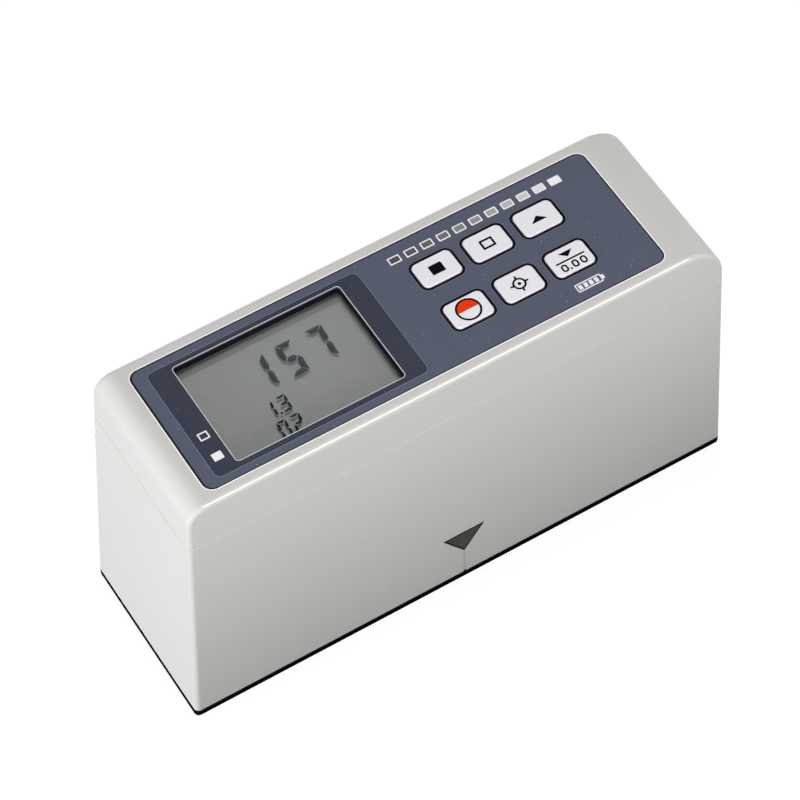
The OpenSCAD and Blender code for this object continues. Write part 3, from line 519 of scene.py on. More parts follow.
class MeshMaker:
    """Builds one mesh from rings of points in millimetres."""

    def __init__(self) -> None:
        """Starts an empty mesh."""
        self.bm = bmesh.new()

    def ring(self, points: Sequence[Sequence[float]]) -> Ring:
        """Adds a ring of points."""
        return [self.bm.verts.new(Vector(p) * MM) for p in points]

    def level(self, plan: Plan, z: float) -> Ring:
        """Adds a ring of plan points at one height."""
        return self.ring([(x, y, z) for x, y in plan])

    def skin(self, *rings: Ring) -> None:
        """Joins each ring to the next with a band of faces.

        Args:
            rings: The rings, which all have as many points.
        """
        for a, b in zip(rings, rings[1:]):
            for i in range(len(a)):
                j = (i + 1) % len(a)
                self.bm.faces.new((a[i], a[j], b[j], b[i]))

    def cap(self, *rings: Ring) -> None:
        """Fills a flat area.

        Args:
            rings: The area's outline, then the outlines of its holes.
        """
        edges = []
        for ring in rings:
            for a, b in zip(ring, ring[1:] + ring[:1]):
                edges.append(self.bm.edges.get((a, b)) or self.bm.edges.new((a, b)))
        bmesh.ops.triangle_fill(self.bm, use_beauty=True, use_dissolve=False, edges=edges)

    def block(self, near: Ring, far: Ring) -> None:
        """Joins two rings and closes both.

        Args:
            near: One end.
            far: The other end.
        """
        self.skin(near, far)
        self.bm.faces.new(near)
        self.bm.faces.new(far)

    def prism(self, plan: Plan, z0: float, z1: float) -> None:
        """Adds an upright block on any simple outline."""
        self.block(self.level(plan, z0), self.level(plan, z1))

    def band(self, outer: Plan, inner: Plan, z0: float, z1: float) -> None:
        """Adds a closed band between two outlines that have as many points."""
        rings = [self.level(plan, z)
                 for plan, z in ((outer, z0), (outer, z1), (inner, z1), (inner, z0))]
        self.skin(*rings, rings[0])

    def plate(self, outline: RoundRect, z0: float, z1: float, edge: float,
              holes: Sequence[RoundRect] = ()) -> None:
        """Adds a plate with a rounded top edge and straight holes.

        Args:
            outline: The plate's outline.
            z0: Its underside.
            z1: Its face.
            edge: Radius of its top edge, or 0 for a sharp one.
            holes: Outlines of its holes.
        """
        rim = [self.level(outline.plan(), z0)]
        for inwards, down in quarter(SHEET_STEPS) if edge > 0 else [(0.0, 0.0)]:
            rim.append(self.level(outline.grown(-edge * inwards).plan(), z1 - edge * down))
        walls = [rim] + [[self.level(hole.plan(), z) for z in (z0, z1)] for hole in holes]
        for rings in walls:
            self.skin(*rings)
        self.cap(*(rings[-1] for rings in walls))
        self.cap(*(rings[0] for rings in walls))

    def face_out(self) -> None:
        """Turns all faces outwards."""
        bmesh.ops.recalc_face_normals(self.bm, faces=self.bm.faces)

    def link(self, name: str) -> bpy.types.Object:
        """Turns the mesh into an object in the scene, which uses it up.

        Args:
            name: The object's name.

        Returns:
            The object.
        """
        mesh = bpy.data.meshes.new(name)
        self.bm.to_mesh(mesh)
        self.bm.free()
        return add_object(name, mesh)

    def piece(self, name: str, finish: AnyFinish, body: str = HOUSING,
              even: bool = False) -> bpy.types.Object:
        """Turns the mesh into a piece that rides on a body.

        Args:
            name: The piece's name.
            finish: What covers it.
            body: The CAD body that it moves with.
            even: True to let large faces lead the shading.

        Returns:
            The piece.
        """
        self.face_out()
        obj = self.link(name)
        soften(obj.data, PIECE_TURN)
        if even:
            obj.modifiers.new("even_shading", "WEIGHTED_NORMAL").keep_sharp = True
        finish_mesh(obj.data, finish)
        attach(obj, body)
        LOG.info("%s rides on %s", obj.name, body)
        return obj


def cut(obj: bpy.types.Object, cutter: MeshMaker) -> None:
    """Takes a cutter's form out of a piece's mesh.

    Args:
        obj: The piece to cut.
        cutter: The form to take away, which is used up.
    """
    cutter.face_out()
    tool = cutter.link("cutter")
    step = obj.modifiers.new("cut", "BOOLEAN")
    step.operation = "DIFFERENCE"
    step.solver = "EXACT"
    step.object = tool
    bpy.context.view_layer.update()
    whole = obj.evaluated_get(bpy.context.evaluated_depsgraph_get())
    old, spent = obj.data, tool.data
    obj.data = bpy.data.meshes.new_from_object(whole)
    obj.data.name = old.name
    obj.modifiers.remove(step)
    bpy.data.objects.remove(tool)
    bpy.data.meshes.remove(spent)
    bpy.data.meshes.remove(old)


@dataclass
class Housing:
    """The moulded body and its cover: leaning walls, rolled ends and a recess for the panel."""

    length: float = 140.0
    width: float = 45.0
    height: float = 75.0
    left_draft: float = 3.0
    right_draft: float = 2.0
    front_draft: float = 2.15
    back_draft: float = 1.2
    edge_r: float = 1.2
    left_r: float = 5.0
    right_r: float = 10.5
    least_r: float = 0.3
    wall: float = 2.2
    foot_z: float = 1.5
    seam_z: float = 62.5
    ceiling_z: float = 72.9
    recess_z: float = 74.5
    seam_half: float = 0.04
    seam_depth: float = 0.45
    seam_edge: float = 0.03
    seam_tinted: float = 0.16
    seam_slope: float = 0.73
    foot_gap: float = 0.45
    foot_inset: float = 0.6
    foot_edge: float = 0.05
    lip_r: float = 0.1
    roll_steps: int = 26
    corner_steps: int = 12
    tip: float = 0.05
    jack_x: float = 25.0
    jack_z: float = 40.0
    jack_steps: int = 48
    jack_nut_r: float = 4.5
    jack_seat_y: float = 20.39
    jack_bore_r: float = 3.1
    jack_bore_y: float = 15.9
    mark_half: float = 5.4
    mark_top_z: float = 17.55
    mark_tip_z: float = 10.26
    mark_t: float = 0.08
    mark_sink: float = 0.05
    mark_inset: float = 0.15
    line_gap: float = 0.4
    line_half: float = 0.46
    line_depth: float = 0.3
    line_over: float = 0.1
    groove_turn: float = 12.0

    def side_l(self, z: float, sx: int) -> float:
        """How far the left or right end wall stands from the middle at a height."""
        draft = self.right_draft if sx > 0 else self.left_draft
        return self.length / 2 - (z - self.foot_z) * math.tan(math.radians(draft))

    def side_w(self, z: float, sy: int) -> float:
        """How far the front or back wall stands from the middle at a height."""
        draft = self.back_draft if sy > 0 else self.front_draft
        return self.width / 2 - (z - self.foot_z) * math.tan(math.radians(draft))

    def on_front(self, x: float, z: float, out: float) -> Place:
        """Gives a point that stands out from the leaning front face."""
        return x, -self.side_w(z, -1) - out, z

    def outline(self, z: float, inset: float = 0.0, top: float | None = None) -> list[Vector]:
        """Gives the housing's outline at a height.

        Args:
            z: The height.
            inset: How far inside the outer face.
            top: Where the ends have rolled flat; without it, the walls run straight.

        Returns:
            The outline's points.
        """
        top = 2 * self.height if top is None else top
        f = max(self.edge_r - inset, self.least_r)
        turn = QUARTER if z <= top - f else math.acos(min(1.0, (z - top + f) / f))
        points = []
        for corner, (sx, sy) in enumerate(CORNERS):
            end_r = max((self.right_r if sx > 0 else self.left_r) - inset, f + self.least_r)
            rise = max(0.0, z - top + end_r)
            for i in range(self.corner_steps + 1):
                k = (i if corner % 2 == 0 else self.corner_steps - i) / self.corner_steps
                reach = end_r - f + f * math.cos(turn * k)
                x = max(math.sqrt(max(0.0, reach ** 2 - rise ** 2)),
                        self.tip * math.cos(QUARTER * k))
                y = max(f * math.sin(turn * k), self.tip * math.sin(QUARTER * k))
                points.append(Vector((sx * (self.side_l(z, sx) - inset - end_r + x),
                                      sy * (self.side_w(z, sy) - inset - f + y), z)))
        return points

    def rolled(self, make: MeshMaker, top: float, inset: float = 0.0) -> list[Ring]:
        """Adds the rings of the rolled ends, from their foot up.

        Args:
            make: The mesh to add to.
            top: Where the ends have rolled flat.
            inset: How far inside the outer face.

        Returns:
            The rings.
        """
        radius = max(self.left_r, self.right_r) - inset
        return [make.ring(self.outline(top - radius * down, inset, top))
                for _, down in quarter(self.roll_steps)]

    def build_body(self) -> None:
        """Makes the tub below the seam, with the jack's pocket and the fine line on the front."""
        make = MeshMaker()
        low, tinted, foot = self.seam_z - self.seam_half, self.seam_tinted, self.foot_z + self.foot_gap
        # The chamfer below the seam faces the way the shell's painted highlight faces, so it takes
        # that painted highlight.
        rings = [make.ring(self.outline(z, inset)) for z, inset in (
            (self.foot_z, self.foot_inset), (foot, self.foot_inset), (foot, self.foot_edge),
            (foot + self.foot_edge, 0.0), (low - self.seam_slope * tinted, 0.0), (low, tinted),
            (low, self.seam_depth), (self.seam_z, self.seam_depth), (self.seam_z, self.wall),
            (self.foot_z, self.wall))]
        make.skin(*rings, rings[0])
        body = make.piece("meter_body", SHELL, even=True)
        cut(body, self.jack_cutter(self.jack_nut_r, self.jack_seat_y))
        cut(body, self.jack_cutter(self.jack_bore_r, self.jack_bore_y))
        cut(body, self.line_cutter())
        soften(body.data, self.groove_turn)
        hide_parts("body_shell")

    def jack_cutter(self, radius: float, y0: float) -> MeshMaker:
        """Makes a round cutter along the jack's axis.

        Args:
            radius: Its radius.
            y0: How deep it starts, from where it runs outwards.

        Returns:
            The cutter.
        """
        tool = MeshMaker()
        plan = disc(self.jack_x, self.jack_z, radius, steps=self.jack_steps)
        tool.block(*(tool.ring([(x, y, z) for x, z in plan]) for y in (y0, self.width)))
        return tool

    def line_cutter(self) -> MeshMaker:
        """Makes the cutter for the fine line below the front mark, a V in section.

        Returns:
            The cutter.
        """
        tool = MeshMaker()
        half = self.line_half * (self.line_depth + self.line_over) / self.line_depth
        section = ((-half, self.line_over), (half, self.line_over), (0.0, -self.line_depth))
        tool.block(*(tool.ring([self.on_front(x, z, out) for x, out in section])
                     for z in (0.0, self.mark_tip_z - self.line_gap)))
        return tool

    def build_cover(self, panel: "Panel") -> None:
        """Makes the cover above the seam, with the panel's recess and its openings.

        Args:
            panel: The panel that lies in the recess.
        """
        make = MeshMaker()
        high, edge, top = self.seam_z + self.seam_half, self.seam_edge, self.height
        outer = [make.ring(self.outline(z, inset, top)) for z, inset in (
            (self.seam_z, self.seam_depth), (high, self.seam_depth), (high, edge),
            (high + edge, 0.0))]
        outer += self.rolled(make, top)
        make.skin(*outer)
        recess = panel.outline.grown(panel.fit_gap)
        # The recess's lip is a rounded edge that runs from the top down into the opening.
        lip = [make.level(recess.grown(self.lip_r * out).plan(), top - self.lip_r * down)
               for down, out in quarter(MOULDED_STEPS)]
        lip.append(make.level(recess.plan(), self.recess_z))
        make.skin(*lip)
        make.cap(outer[-1], lip[0])
        pocket = panel.window.grown(panel.pane_edge + panel.fit_gap)
        shafts = [((pocket, self.recess_z), (pocket, panel.ledge_z),
                   (panel.window, panel.ledge_z), (panel.window, self.ceiling_z))]
        shafts += [((hole, self.recess_z), (hole, self.ceiling_z)) for hole in panel.key_holes()]
        floors, roofs = [lip[-1]], []
        for shaft in shafts:
            rings = [make.level(shape.plan(), z) for shape, z in shaft]
            make.skin(*rings)
            floors.append(rings[0])
            roofs.append(rings[-1])
        make.cap(*floors)
        inner = self.rolled(make, self.ceiling_z, self.wall)
        rim = make.ring(self.outline(self.seam_z, self.wall, self.ceiling_z))
        make.skin(rim, *inner)
        make.cap(inner[-1], *roofs)
        make.skin(outer[0], rim)
        cover = make.piece("meter_cover", SHELL, even=True)
        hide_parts("top_cover")

    def build_mark(self) -> None:
        """Makes the dark triangle on the front, with its raised rim."""
        middle = Vector((0, (2 * self.mark_top_z + self.mark_tip_z) / 3))
        corners = [Vector(p) for p in ((-self.mark_half, self.mark_top_z), (0, self.mark_tip_z),
                                       (self.mark_half, self.mark_top_z))]
        for name, shrink, rise, finish in (
                ("front_mark_rim", 0.0, self.mark_t / 2, INK_BLACK),
                ("front_mark", self.mark_inset, self.mark_t, MARK_GREY)):
            points = [p + (middle - p) * shrink for p in corners]
            make = MeshMaker()
            make.block(*(make.ring([self.on_front(x, z, out) for x, z in points])
                         for out in (-self.mark_sink, rise)))
            make.piece(name, finish)


@dataclass
class Panel:
    """The printed film in the top with its display opening, key openings and plain signs."""

    outline: RoundRect = RoundRect(-2.4, 0.5, 114.2, 34.8, 2.4)
    window: RoundRect = RoundRect(-29.9, 0.55, 41.0, 27.7, 0.8)
    dark: RoundRect = RoundRect(-30.18, 0.43, 51.65, 30.55, 1.5)
    key: RoundRect = RoundRect(0.0, 0.0, 9.6, 6.9, 1.3)
    fit_gap: float = 0.1
    film_z: float = 74.5
    film_edge: float = 0.06
    face_z: float = 74.9
    lip_z: float = 75.0
    ink_t: float = 0.025
    ink_sink: float = 0.01
    ledge_z: float = 73.5
    pane_edge: float = 1.2
    key_gap: float = 0.25
    keys_x: float = 23.75
    keys_y: float = 0.6
    pitch_x: float = 12.85
    pitch_y: float = 12.8
    ring_w: float = 0.46
    hair_w: float = 0.1
    window_gap: float = 0.18
    window_highlight_in: float = 0.02
    window_highlight_out: float = 0.17
    window_highlight_rise: float = 0.02
    rim_highlight_w: float = 0.26
    rim_lap: float = 0.03
    rim_sink: float = 0.04
    rim_drop: float = 0.01
    rim_highlight_rise: float = 0.015
    rim_shade_w: float = 0.26
    rim_shade_left_w: float = 0.2
    patch: RoundRect = RoundRect(4.45, 13.9, 2.9, 2.0, 0.2)
    patch_line: float = 0.3
    patch_drop: float = 0.01
    patch_pitch: float = 4.1
    patch_count: int = 11
    patch_dark: int = 30
    patch_light: int = 245
    open_row: RoundRect = RoundRect(-53.2, -4.1, 2.3, 2.0, 0.15)
    full_row: RoundRect = RoundRect(-53.2, -10.0, 2.3, 2.0, 0.15)
    row_line: float = 0.32
    cell: RoundRect = RoundRect(36.6, -13.4, 6.4, 2.2, 0.3)
    cell_line: float = 0.28
    cell_knob: tuple[float, ...] = (39.8, -13.95, 40.4, -12.85)
    cell_bar: tuple[float, ...] = (34.0, -14.0, 34.9, -12.8)
    cell_bars: int = 4
    cell_pitch: float = 1.34

    def key_places(self) -> Plan:
        """Gives the middles of the six keys, back row first."""
        return [(self.keys_x + column * self.pitch_x, self.keys_y + row * self.pitch_y)
                for row in (0.5, -0.5) for column in (-1, 0, 1)]

    def key_holes(self) -> list[RoundRect]:
        """Gives the outlines of the openings round the keys."""
        return [self.key.at(*place).grown(self.key_gap) for place in self.key_places()]

    def build(self) -> None:
        """Makes the film and everything printed on it."""
        make = MeshMaker()
        make.plate(self.outline, self.film_z, self.face_z, self.film_edge,
                   [self.window] + self.key_holes())
        film = make.piece("panel_sheet", FILM, even=True)
        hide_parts("panel_overlay")
        self.build_prints()
        self.build_signs()

    def build_prints(self) -> None:
        """Makes the dark field round the display, the outlines of the openings, a painted highlight
        round the panel and round the display's opening, and painted shade just inside the panel's
        edge.
        """
        z0, z1 = self.face_z - self.ink_sink, self.face_z + self.ink_t
        field = MeshMaker()
        field.plate(self.dark, z0, z1, 0.0, [self.window.grown(self.window_gap)])
        field.piece("panel_dark_field", FILM_DARK, even=True)
        holes = self.key_holes()
        rings = [hole.grown(self.ring_w) for hole in holes]
        edge, inner = self.outline.grown(self.rim_lap), self.outline.grown(-self.rim_shade_w)
        inner = RoundRect(inner.x + self.rim_shade_left_w / 2, inner.y,
                          inner.length - self.rim_shade_left_w, inner.width, inner.radius)
        window_highlight = (self.window.grown(self.window_highlight_out),
                       self.window.grown(self.window_highlight_in))
        low = z0 - self.rim_sink
        for name, finish, bands, bottom, top in (
                ("panel_dark_field_line", FILM_LINE,
                 [(self.dark.grown(self.hair_w), self.dark)], z0, z1),
                ("display_edge_highlight", WINDOW_EDGE_HIGHLIGHT, [window_highlight], z0, z1 + self.window_highlight_rise),
                ("key_fine_lines", KEY_LINE, [(r.grown(self.hair_w), r) for r in rings], z0, z1),
                ("key_outlines", INK_BLACK, zip(rings, holes), z0, z1),
                ("panel_rim_shade", FILM_EDGE_SHADE, [(edge, inner)], low, z1 - self.rim_drop),
                ("panel_rim_highlight", RIM_HIGHLIGHT, [(edge.grown(self.rim_highlight_w), edge)], low,
                 self.lip_z + self.rim_highlight_rise)):
            line = MeshMaker()
            for outside, inside in bands:
                line.band(outside.plan(), inside.plan(), bottom, top)
            line.piece(name, finish)

    def build_signs(self) -> None:
        """Makes the plain signs: a row of steps from dark to light, two rows' and a cell's."""
        z0, z1 = self.face_z, self.face_z + 2 * self.ink_t
        signs = MeshMaker()
        for i in range(self.patch_count):
            patch = self.patch.at(self.patch.x + self.patch_pitch * i, self.patch.y)
            middle = patch.grown(-self.patch_line).plan(SIGN_STEPS)
            signs.band(patch.plan(SIGN_STEPS), middle, z0, z1)
            value = int(self.patch_dark
                        + (self.patch_light - self.patch_dark) * i / (self.patch_count - 1))
            ink = Finish(f"step_ink_{i + 1}", from_screen(value, value, value), 0.42, 0.02, 3.0)
            fill = MeshMaker()
            fill.prism(middle, z0, z1 - self.patch_drop)
            fill.piece(f"step_{i + 1}", ink)
        for row in (self.open_row, self.full_row):
            middle = row.grown(-self.row_line).plan(SIGN_STEPS)
            signs.band(row.plan(SIGN_STEPS), middle, z0, z1 + self.ink_t)
            if row is self.full_row:
                signs.prism(middle, z0, z1 + self.ink_t)
        signs.band(self.cell.plan(SIGN_STEPS), self.cell.grown(-self.cell_line).plan(SIGN_STEPS),
                   z0, z1)
        signs.prism(bar(*self.cell_knob), z0, z1)
        for i in range(self.cell_bars):
            signs.prism(moved(bar(*self.cell_bar), self.cell_pitch * i, 0.0), z0, z1)
        signs.piece("panel_white_signs", INK_WHITE)


class KeySign(Enum):
    """The six keys in their order on the panel, each named for what it does."""

    DARK_READING = "dark_reading"
    LIGHT_READING = "light_reading"
    UP = "up"
    POWER = "power"
    CALIBRATE = "calibrate"
    DOWN = "down"


@dataclass
class Keys:
    """Six caps, each with its plain sign, whose sizes are taken from the cap's middle."""

    panel: Panel
    seat_z: float = 72.8
    foot_z: float = 71.8
    face_z: float = 75.2
    flange: float = 0.8
    edge_r: float = 0.22
    ink_t: float = 0.02
    ink_sink: float = 0.01
    square: RoundRect = RoundRect(0.0, 0.0, 3.2, 2.6, 0.2)
    square_line: float = 0.5
    up: Plan = ((-1.92, -0.85), (1.92, -0.85), (0.0, 0.75))
    power_r: float = 2.95
    power_inner_r: float = 2.48
    red_r: float = 2.5
    red_y: float = 0.02
    red_drop: float = 0.005
    target_r: float = 1.55
    target_inner_r: float = 1.1
    target_dot_r: float = 0.4
    target_dot_steps: int = 24
    hair_from: float = 1.45
    hair_to: float = 2.2
    hair_half: float = 0.22
    down: Plan = ((-1.75, 2.1), (0.0, 0.65), (1.75, 2.1))
    rule: tuple[float, ...] = (-3.6, -0.32, 3.6, 0.08)
    nought: RoundRect = RoundRect(0.0, -1.75, 1.55, 2.0, 0.7)
    nought_line: float = 0.42
    nought_steps: int = 6
    noughts_x: tuple[float, ...] = (-2.35, 0.35, 2.45)
    point: tuple[float, ...] = (-1.05, -2.5, 0.25)
    point_steps: int = 16

    def build(self) -> None:
        """Makes each cap and its sign."""
        for sign, place in zip(KeySign, self.panel.key_places()):
            self.build_cap(sign, place)
            self.build_sign(sign, place)

    def build_cap(self, sign: KeySign, place: tuple[float, float]) -> None:
        """Makes one cap with its hidden flange.

        Args:
            sign: Which key it is.
            place: The cap's middle.
        """
        shape = self.panel.key.at(*place)
        wide = shape.grown(self.panel.key_gap + self.flange)
        flange = RoundRect(wide.x, wide.y, wide.length, wide.width, shape.radius)
        make = MeshMaker()
        rings = [make.level(outline.plan(), z) for outline, z in (
            (flange, self.foot_z), (flange, self.seat_z), (shape, self.seat_z))]
        rings += [make.level(shape.grown(-self.edge_r * inwards).plan(),
                             self.face_z - self.edge_r * down)
                  for inwards, down in quarter(MOULDED_STEPS)]
        make.skin(*rings)
        make.cap(rings[-1])
        make.cap(rings[0])
        cap = make.piece(f"cap_{sign.value}", KEY_WHITE, f"button_{sign.value}",
                         even=True)
        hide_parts(f"key_{sign.value}")

    def sign_shapes(self, sign: KeySign) -> list[tuple[Plan, Plan | None]]:
        """Gives the shapes of one sign.

        Args:
            sign: Which key it is for.

        Returns:
            The outline of each shape, with that of its hole if it is a ring.
        """
        if sign is KeySign.DARK_READING:
            return [(self.square.plan(SIGN_STEPS), None)]
        if sign is KeySign.LIGHT_READING:
            return [(self.square.plan(SIGN_STEPS),
                     self.square.grown(-self.square_line).plan(SIGN_STEPS))]
        if sign is KeySign.UP:
            return [(self.up, None)]
        if sign is KeySign.POWER:
            return [(disc(0.0, 0.0, self.power_r), disc(0.0, 0.0, self.power_inner_r))]
        if sign is KeySign.CALIBRATE:
            near, far, half = self.hair_from, self.hair_to, self.hair_half
            hairs = (bar(near, -half, far, half), bar(-far, -half, -near, half),
                     bar(-half, near, half, far), bar(-half, -far, half, -near))
            return [(disc(0.0, 0.0, self.target_r), disc(0.0, 0.0, self.target_inner_r)),
                    (disc(0.0, 0.0, self.target_dot_r, steps=self.target_dot_steps), None),
                    *((hair, None) for hair in hairs)]
        noughts = [self.nought.at(x, self.nought.y) for x in self.noughts_x]
        return [(self.down, None), (bar(*self.rule), None),
                *((nought.plan(self.nought_steps),
                   nought.grown(-self.nought_line).plan(self.nought_steps)) for nought in noughts),
                (disc(*self.point, steps=self.point_steps), None)]

    def build_sign(self, sign: KeySign, place: tuple[float, float]) -> None:
        """Makes the sign on one cap.

        Args:
            sign: Which key it is for.
            place: The cap's middle.
        """
        body = f"button_{sign.value}"
        z0, z1 = self.face_z - self.ink_sink, self.face_z + self.ink_t
        ink = MeshMaker()
        for outer, hole in self.sign_shapes(sign):
            if hole is None:
                ink.prism(moved(outer, *place), z0, z1)
            else:
                ink.band(moved(outer, *place), moved(hole, *place), z0, z1)
        if sign is KeySign.POWER:
            red = MeshMaker()
            red.prism(moved(disc(0.0, self.red_y, self.red_r, 180.0), *place), z0,
                      z1 - self.red_drop)
            red.piece("sign_power_red", INK_RED, body)
        ink.piece(f"sign_{sign.value}", INK_BLACK, body)


# The segments that are on in each number of the reading.
SEGMENTS = {0: "abcdef", 1: "bc", 2: "abged", 3: "abgcd", 5: "afgcd", 7: "abc"}


@dataclass(frozen=True)
class Digit:
    """One number of the display, drawn with straight segments."""

    value: int
    x: float
    y: float
    width: float
    height: float
    stroke: float
    gap: float
    slant: float = 0.055
    bend: float = 0.45

    def strokes(self) -> list[Plan]:
        """Gives the segments that are on.

        Returns:
            The outline of each segment.
        """
        w, h, t, g = self.width, self.height, self.stroke, self.gap
        m = h / 2
        upright = [(0, h - g), (t, h - t - g), (t, m + t / 2 + g), (t * self.bend, m + g / 2),
                   (0, m + t / 2 + g)]
        shapes = {
            "a": [(g, h), (t + g, h - t), (w - t - g, h - t), (w - g, h)],
            "d": [(g, 0), (w - g, 0), (w - t - g, t), (t + g, t)],
            "g": [(t / 2 + g, m), (t + g, m - t / 2), (w - t - g, m - t / 2),
                  (w - t / 2 - g, m), (w - t - g, m + t / 2), (t + g, m + t / 2)],
            "f": upright,
            "b": [(w - px, py) for px, py in upright],
            "e": [(px, h - py) for px, py in upright],
            "c": [(w - px, h - py) for px, py in upright],
        }
        return [[(self.x + px + self.slant * py, self.y + py) for px, py in shapes[s]]
                for s in SEGMENTS[self.value]]


@dataclass
class Display:
    """The clear pane, its dark surround and the display cell with a reading on it."""

    panel: Panel
    cell: RoundRect = RoundRect(-29.9, 0.55, 45.4, 32.1, 0.2)
    cell_z: float = 70.0
    back_z: float = 72.0
    glass_z: float = 72.8
    glass_inset: float = 0.4
    glass_gap: float = 0.02
    sheet_edge: float = 0.05
    pane_top: float = 74.5
    pane_drop: float = 0.05
    pane_gap: float = 0.02
    surround_gap: float = 0.01
    surround_foot: float = 0.04
    throat_gap: float = 0.03
    lip_t: float = 0.12
    ink_sink: float = 0.03
    ink_rise: float = 0.012
    digits: tuple[Digit, ...] = tuple(
        Digit(value, x, 0.1, 4.2, 9.0, 1.28, 0.16)
        for value, x in ((1, -36.3), (5, -29.1), (7, -21.8)))
    small_digits: tuple[Digit, ...] = tuple(
        Digit(value, x, y, width, height, 0.5, 0.17) for value, x, y, width, height in (
            (1, -38.3, -6.6, 1.9, 4.2), (3, -35.4, -6.6, 2.35, 4.2),
            (0, -38.45, -12.7, 2.25, 4.7), (2, -35.3, -12.7, 2.35, 4.7)))
    point: RoundRect = RoundRect(-35.7, -6.4, 0.5, 0.5, 0.12)

    def build(self) -> None:
        """Makes the surround, the pane, the cell and the reading."""
        self.build_window()
        self.build_cell()
        self.build_reading()

    def build_window(self) -> None:
        """Makes the dark surround and the clear pane, which casts no shadow."""
        window, ledge_z = self.panel.window, self.panel.ledge_z
        outer, inner = window.grown(self.panel.pane_edge), window.grown(-self.lip_t)
        throat = window.grown(-self.throat_gap)
        ledge, top = ledge_z + self.surround_gap, self.pane_top - self.surround_gap
        foot = self.glass_z + self.surround_foot
        surround = MeshMaker()
        rings = [surround.level(shape.plan(), z) for shape, z in (
            (outer, ledge), (outer, top), (inner, top), (inner, foot), (throat, foot),
            (throat, ledge))]
        surround.skin(*rings, rings[0])
        surround.piece("display_surround", BEZEL)
        make = MeshMaker()
        make.plate(inner.grown(-self.pane_gap), ledge_z, self.pane_top - self.pane_drop,
                   self.sheet_edge)
        pane = make.piece("display_pane", PANE, even=True)
        pane.visible_shadow = False
        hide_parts("display_window")

    def build_cell(self) -> None:
        """Makes the display cell: a grey back and its front glass, which casts no shadow."""
        back = MeshMaker()
        back.plate(self.cell, self.cell_z, self.back_z, self.sheet_edge)
        reflector = back.piece("display_cell", CELL_BACK, even=True)
        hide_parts("lcd_glass")
        front = MeshMaker()
        front.plate(self.cell.grown(-self.glass_inset), self.back_z + self.glass_gap, self.glass_z,
                    self.sheet_edge)
        glass = front.piece("display_cell_glass", CELL_GLASS, even=True)
        glass.visible_shadow = False

    def build_reading(self) -> None:
        """Makes the segments of the reading and the point in its small rows."""
        z0, z1 = self.glass_z - self.ink_sink, self.glass_z + self.ink_rise
        for name, digits, points, finish in (
                ("display_reading", self.digits, [], SEGMENT),
                ("display_small_rows", self.small_digits, [self.point.plan(SIGN_STEPS)],
                 SEGMENT_FINE)):
            ink = MeshMaker()
            for shape in [stroke for digit in digits for stroke in digit.strokes()] + points:
                ink.prism(shape, z0, z1)
            ink.piece(name, finish)


NODE_FINISHES: dict[str, AnyFinish] = {
    "base_plate": BASE, "battery_door": DOOR, "lcd_frame": BLACK_MOULDING, "zebra_strips": RUBBER,
    "main_board": SOLDER_MASK, "lamp_board": SOLDER_MASK, "detector_board": SOLDER_MASK,
    "switch_bodies": BLACK_MOULDING, "control_chip": BLACK_MOULDING, "board_parts": CAN,
    "board_screws": STEEL, "optics_block": DEAD_BLACK, "aperture_ring": DEAD_BLACK,
    "optics_screws": STEEL, "lamp_led": LED, "lamp_holder": BLACK_MOULDING, "lamp_lens": LENS,
    "lamp_leads": RED_WIRE, "detector_lens": LENS, "colour_filter": FILTER, "photodiode": BRASS,
    "detector_screws": STEEL, "ribbon_sockets": SOCKET, "ribbon_cable": RIBBON,
    "battery_case": BLACK_MOULDING, "battery_holder": BLACK_MOULDING, "battery_springs": STEEL,
    "contact_plates": STEEL, "battery_terminals": BRASS, "battery_leads": RED_WIRE,
    "data_jack": BLACK_MOULDING, "jack_nut": NICKEL, "jack_leads": BLUE_WIRE,
    "base_screws": STEEL, "cover_screws": STEEL,
    **{f"battery_cell_{i}": SLEEVE for i in range(1, 5)},
    **{f"plunger_{sign.value}": PLUNGER for sign in KeySign},
}


@dataclass
class Underside:
    """The CAD nodes that stay, and the raised arrow on the battery door."""

    door_z: float = 0.1
    arrow_t: float = 0.06
    arrow_sink: float = 0.05
    arrow_head: Plan = ((47.0, -3.2), (51.2, 0.0), (47.0, 3.2))
    arrow_tail: tuple[float, ...] = (42.6, -1.1, 47.0, 1.1)

    def build(self) -> None:
        """Gives each kept node its finish and makes the door's arrow."""
        for name, finish in NODE_FINISHES.items():
            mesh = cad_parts[name].data
            soften(mesh, NODE_TURN)
            finish_mesh(mesh, finish)
            LOG.info("%s is finished in %s", name, finish.name)
        arrow = MeshMaker()
        for plan in (self.arrow_head, bar(*self.arrow_tail)):
            arrow.prism(plan, self.door_z - self.arrow_t, self.door_z + self.arrow_sink)
        arrow.piece("door_arrow", DOOR, "door")


@dataclass(frozen=True)
class Lamp:
    """A soft lamp.

    It has the place where it hangs, what it faces, its height, its power in watts, its tint, how
    wide it spreads in degrees, and how many times as long as high it is.
    """

    name: str
    place: Place
    aim: Place
    size: float
    power: float
    tint: Colour = WHITE
    spread: float = 180.0
    stretch: float = 1.0


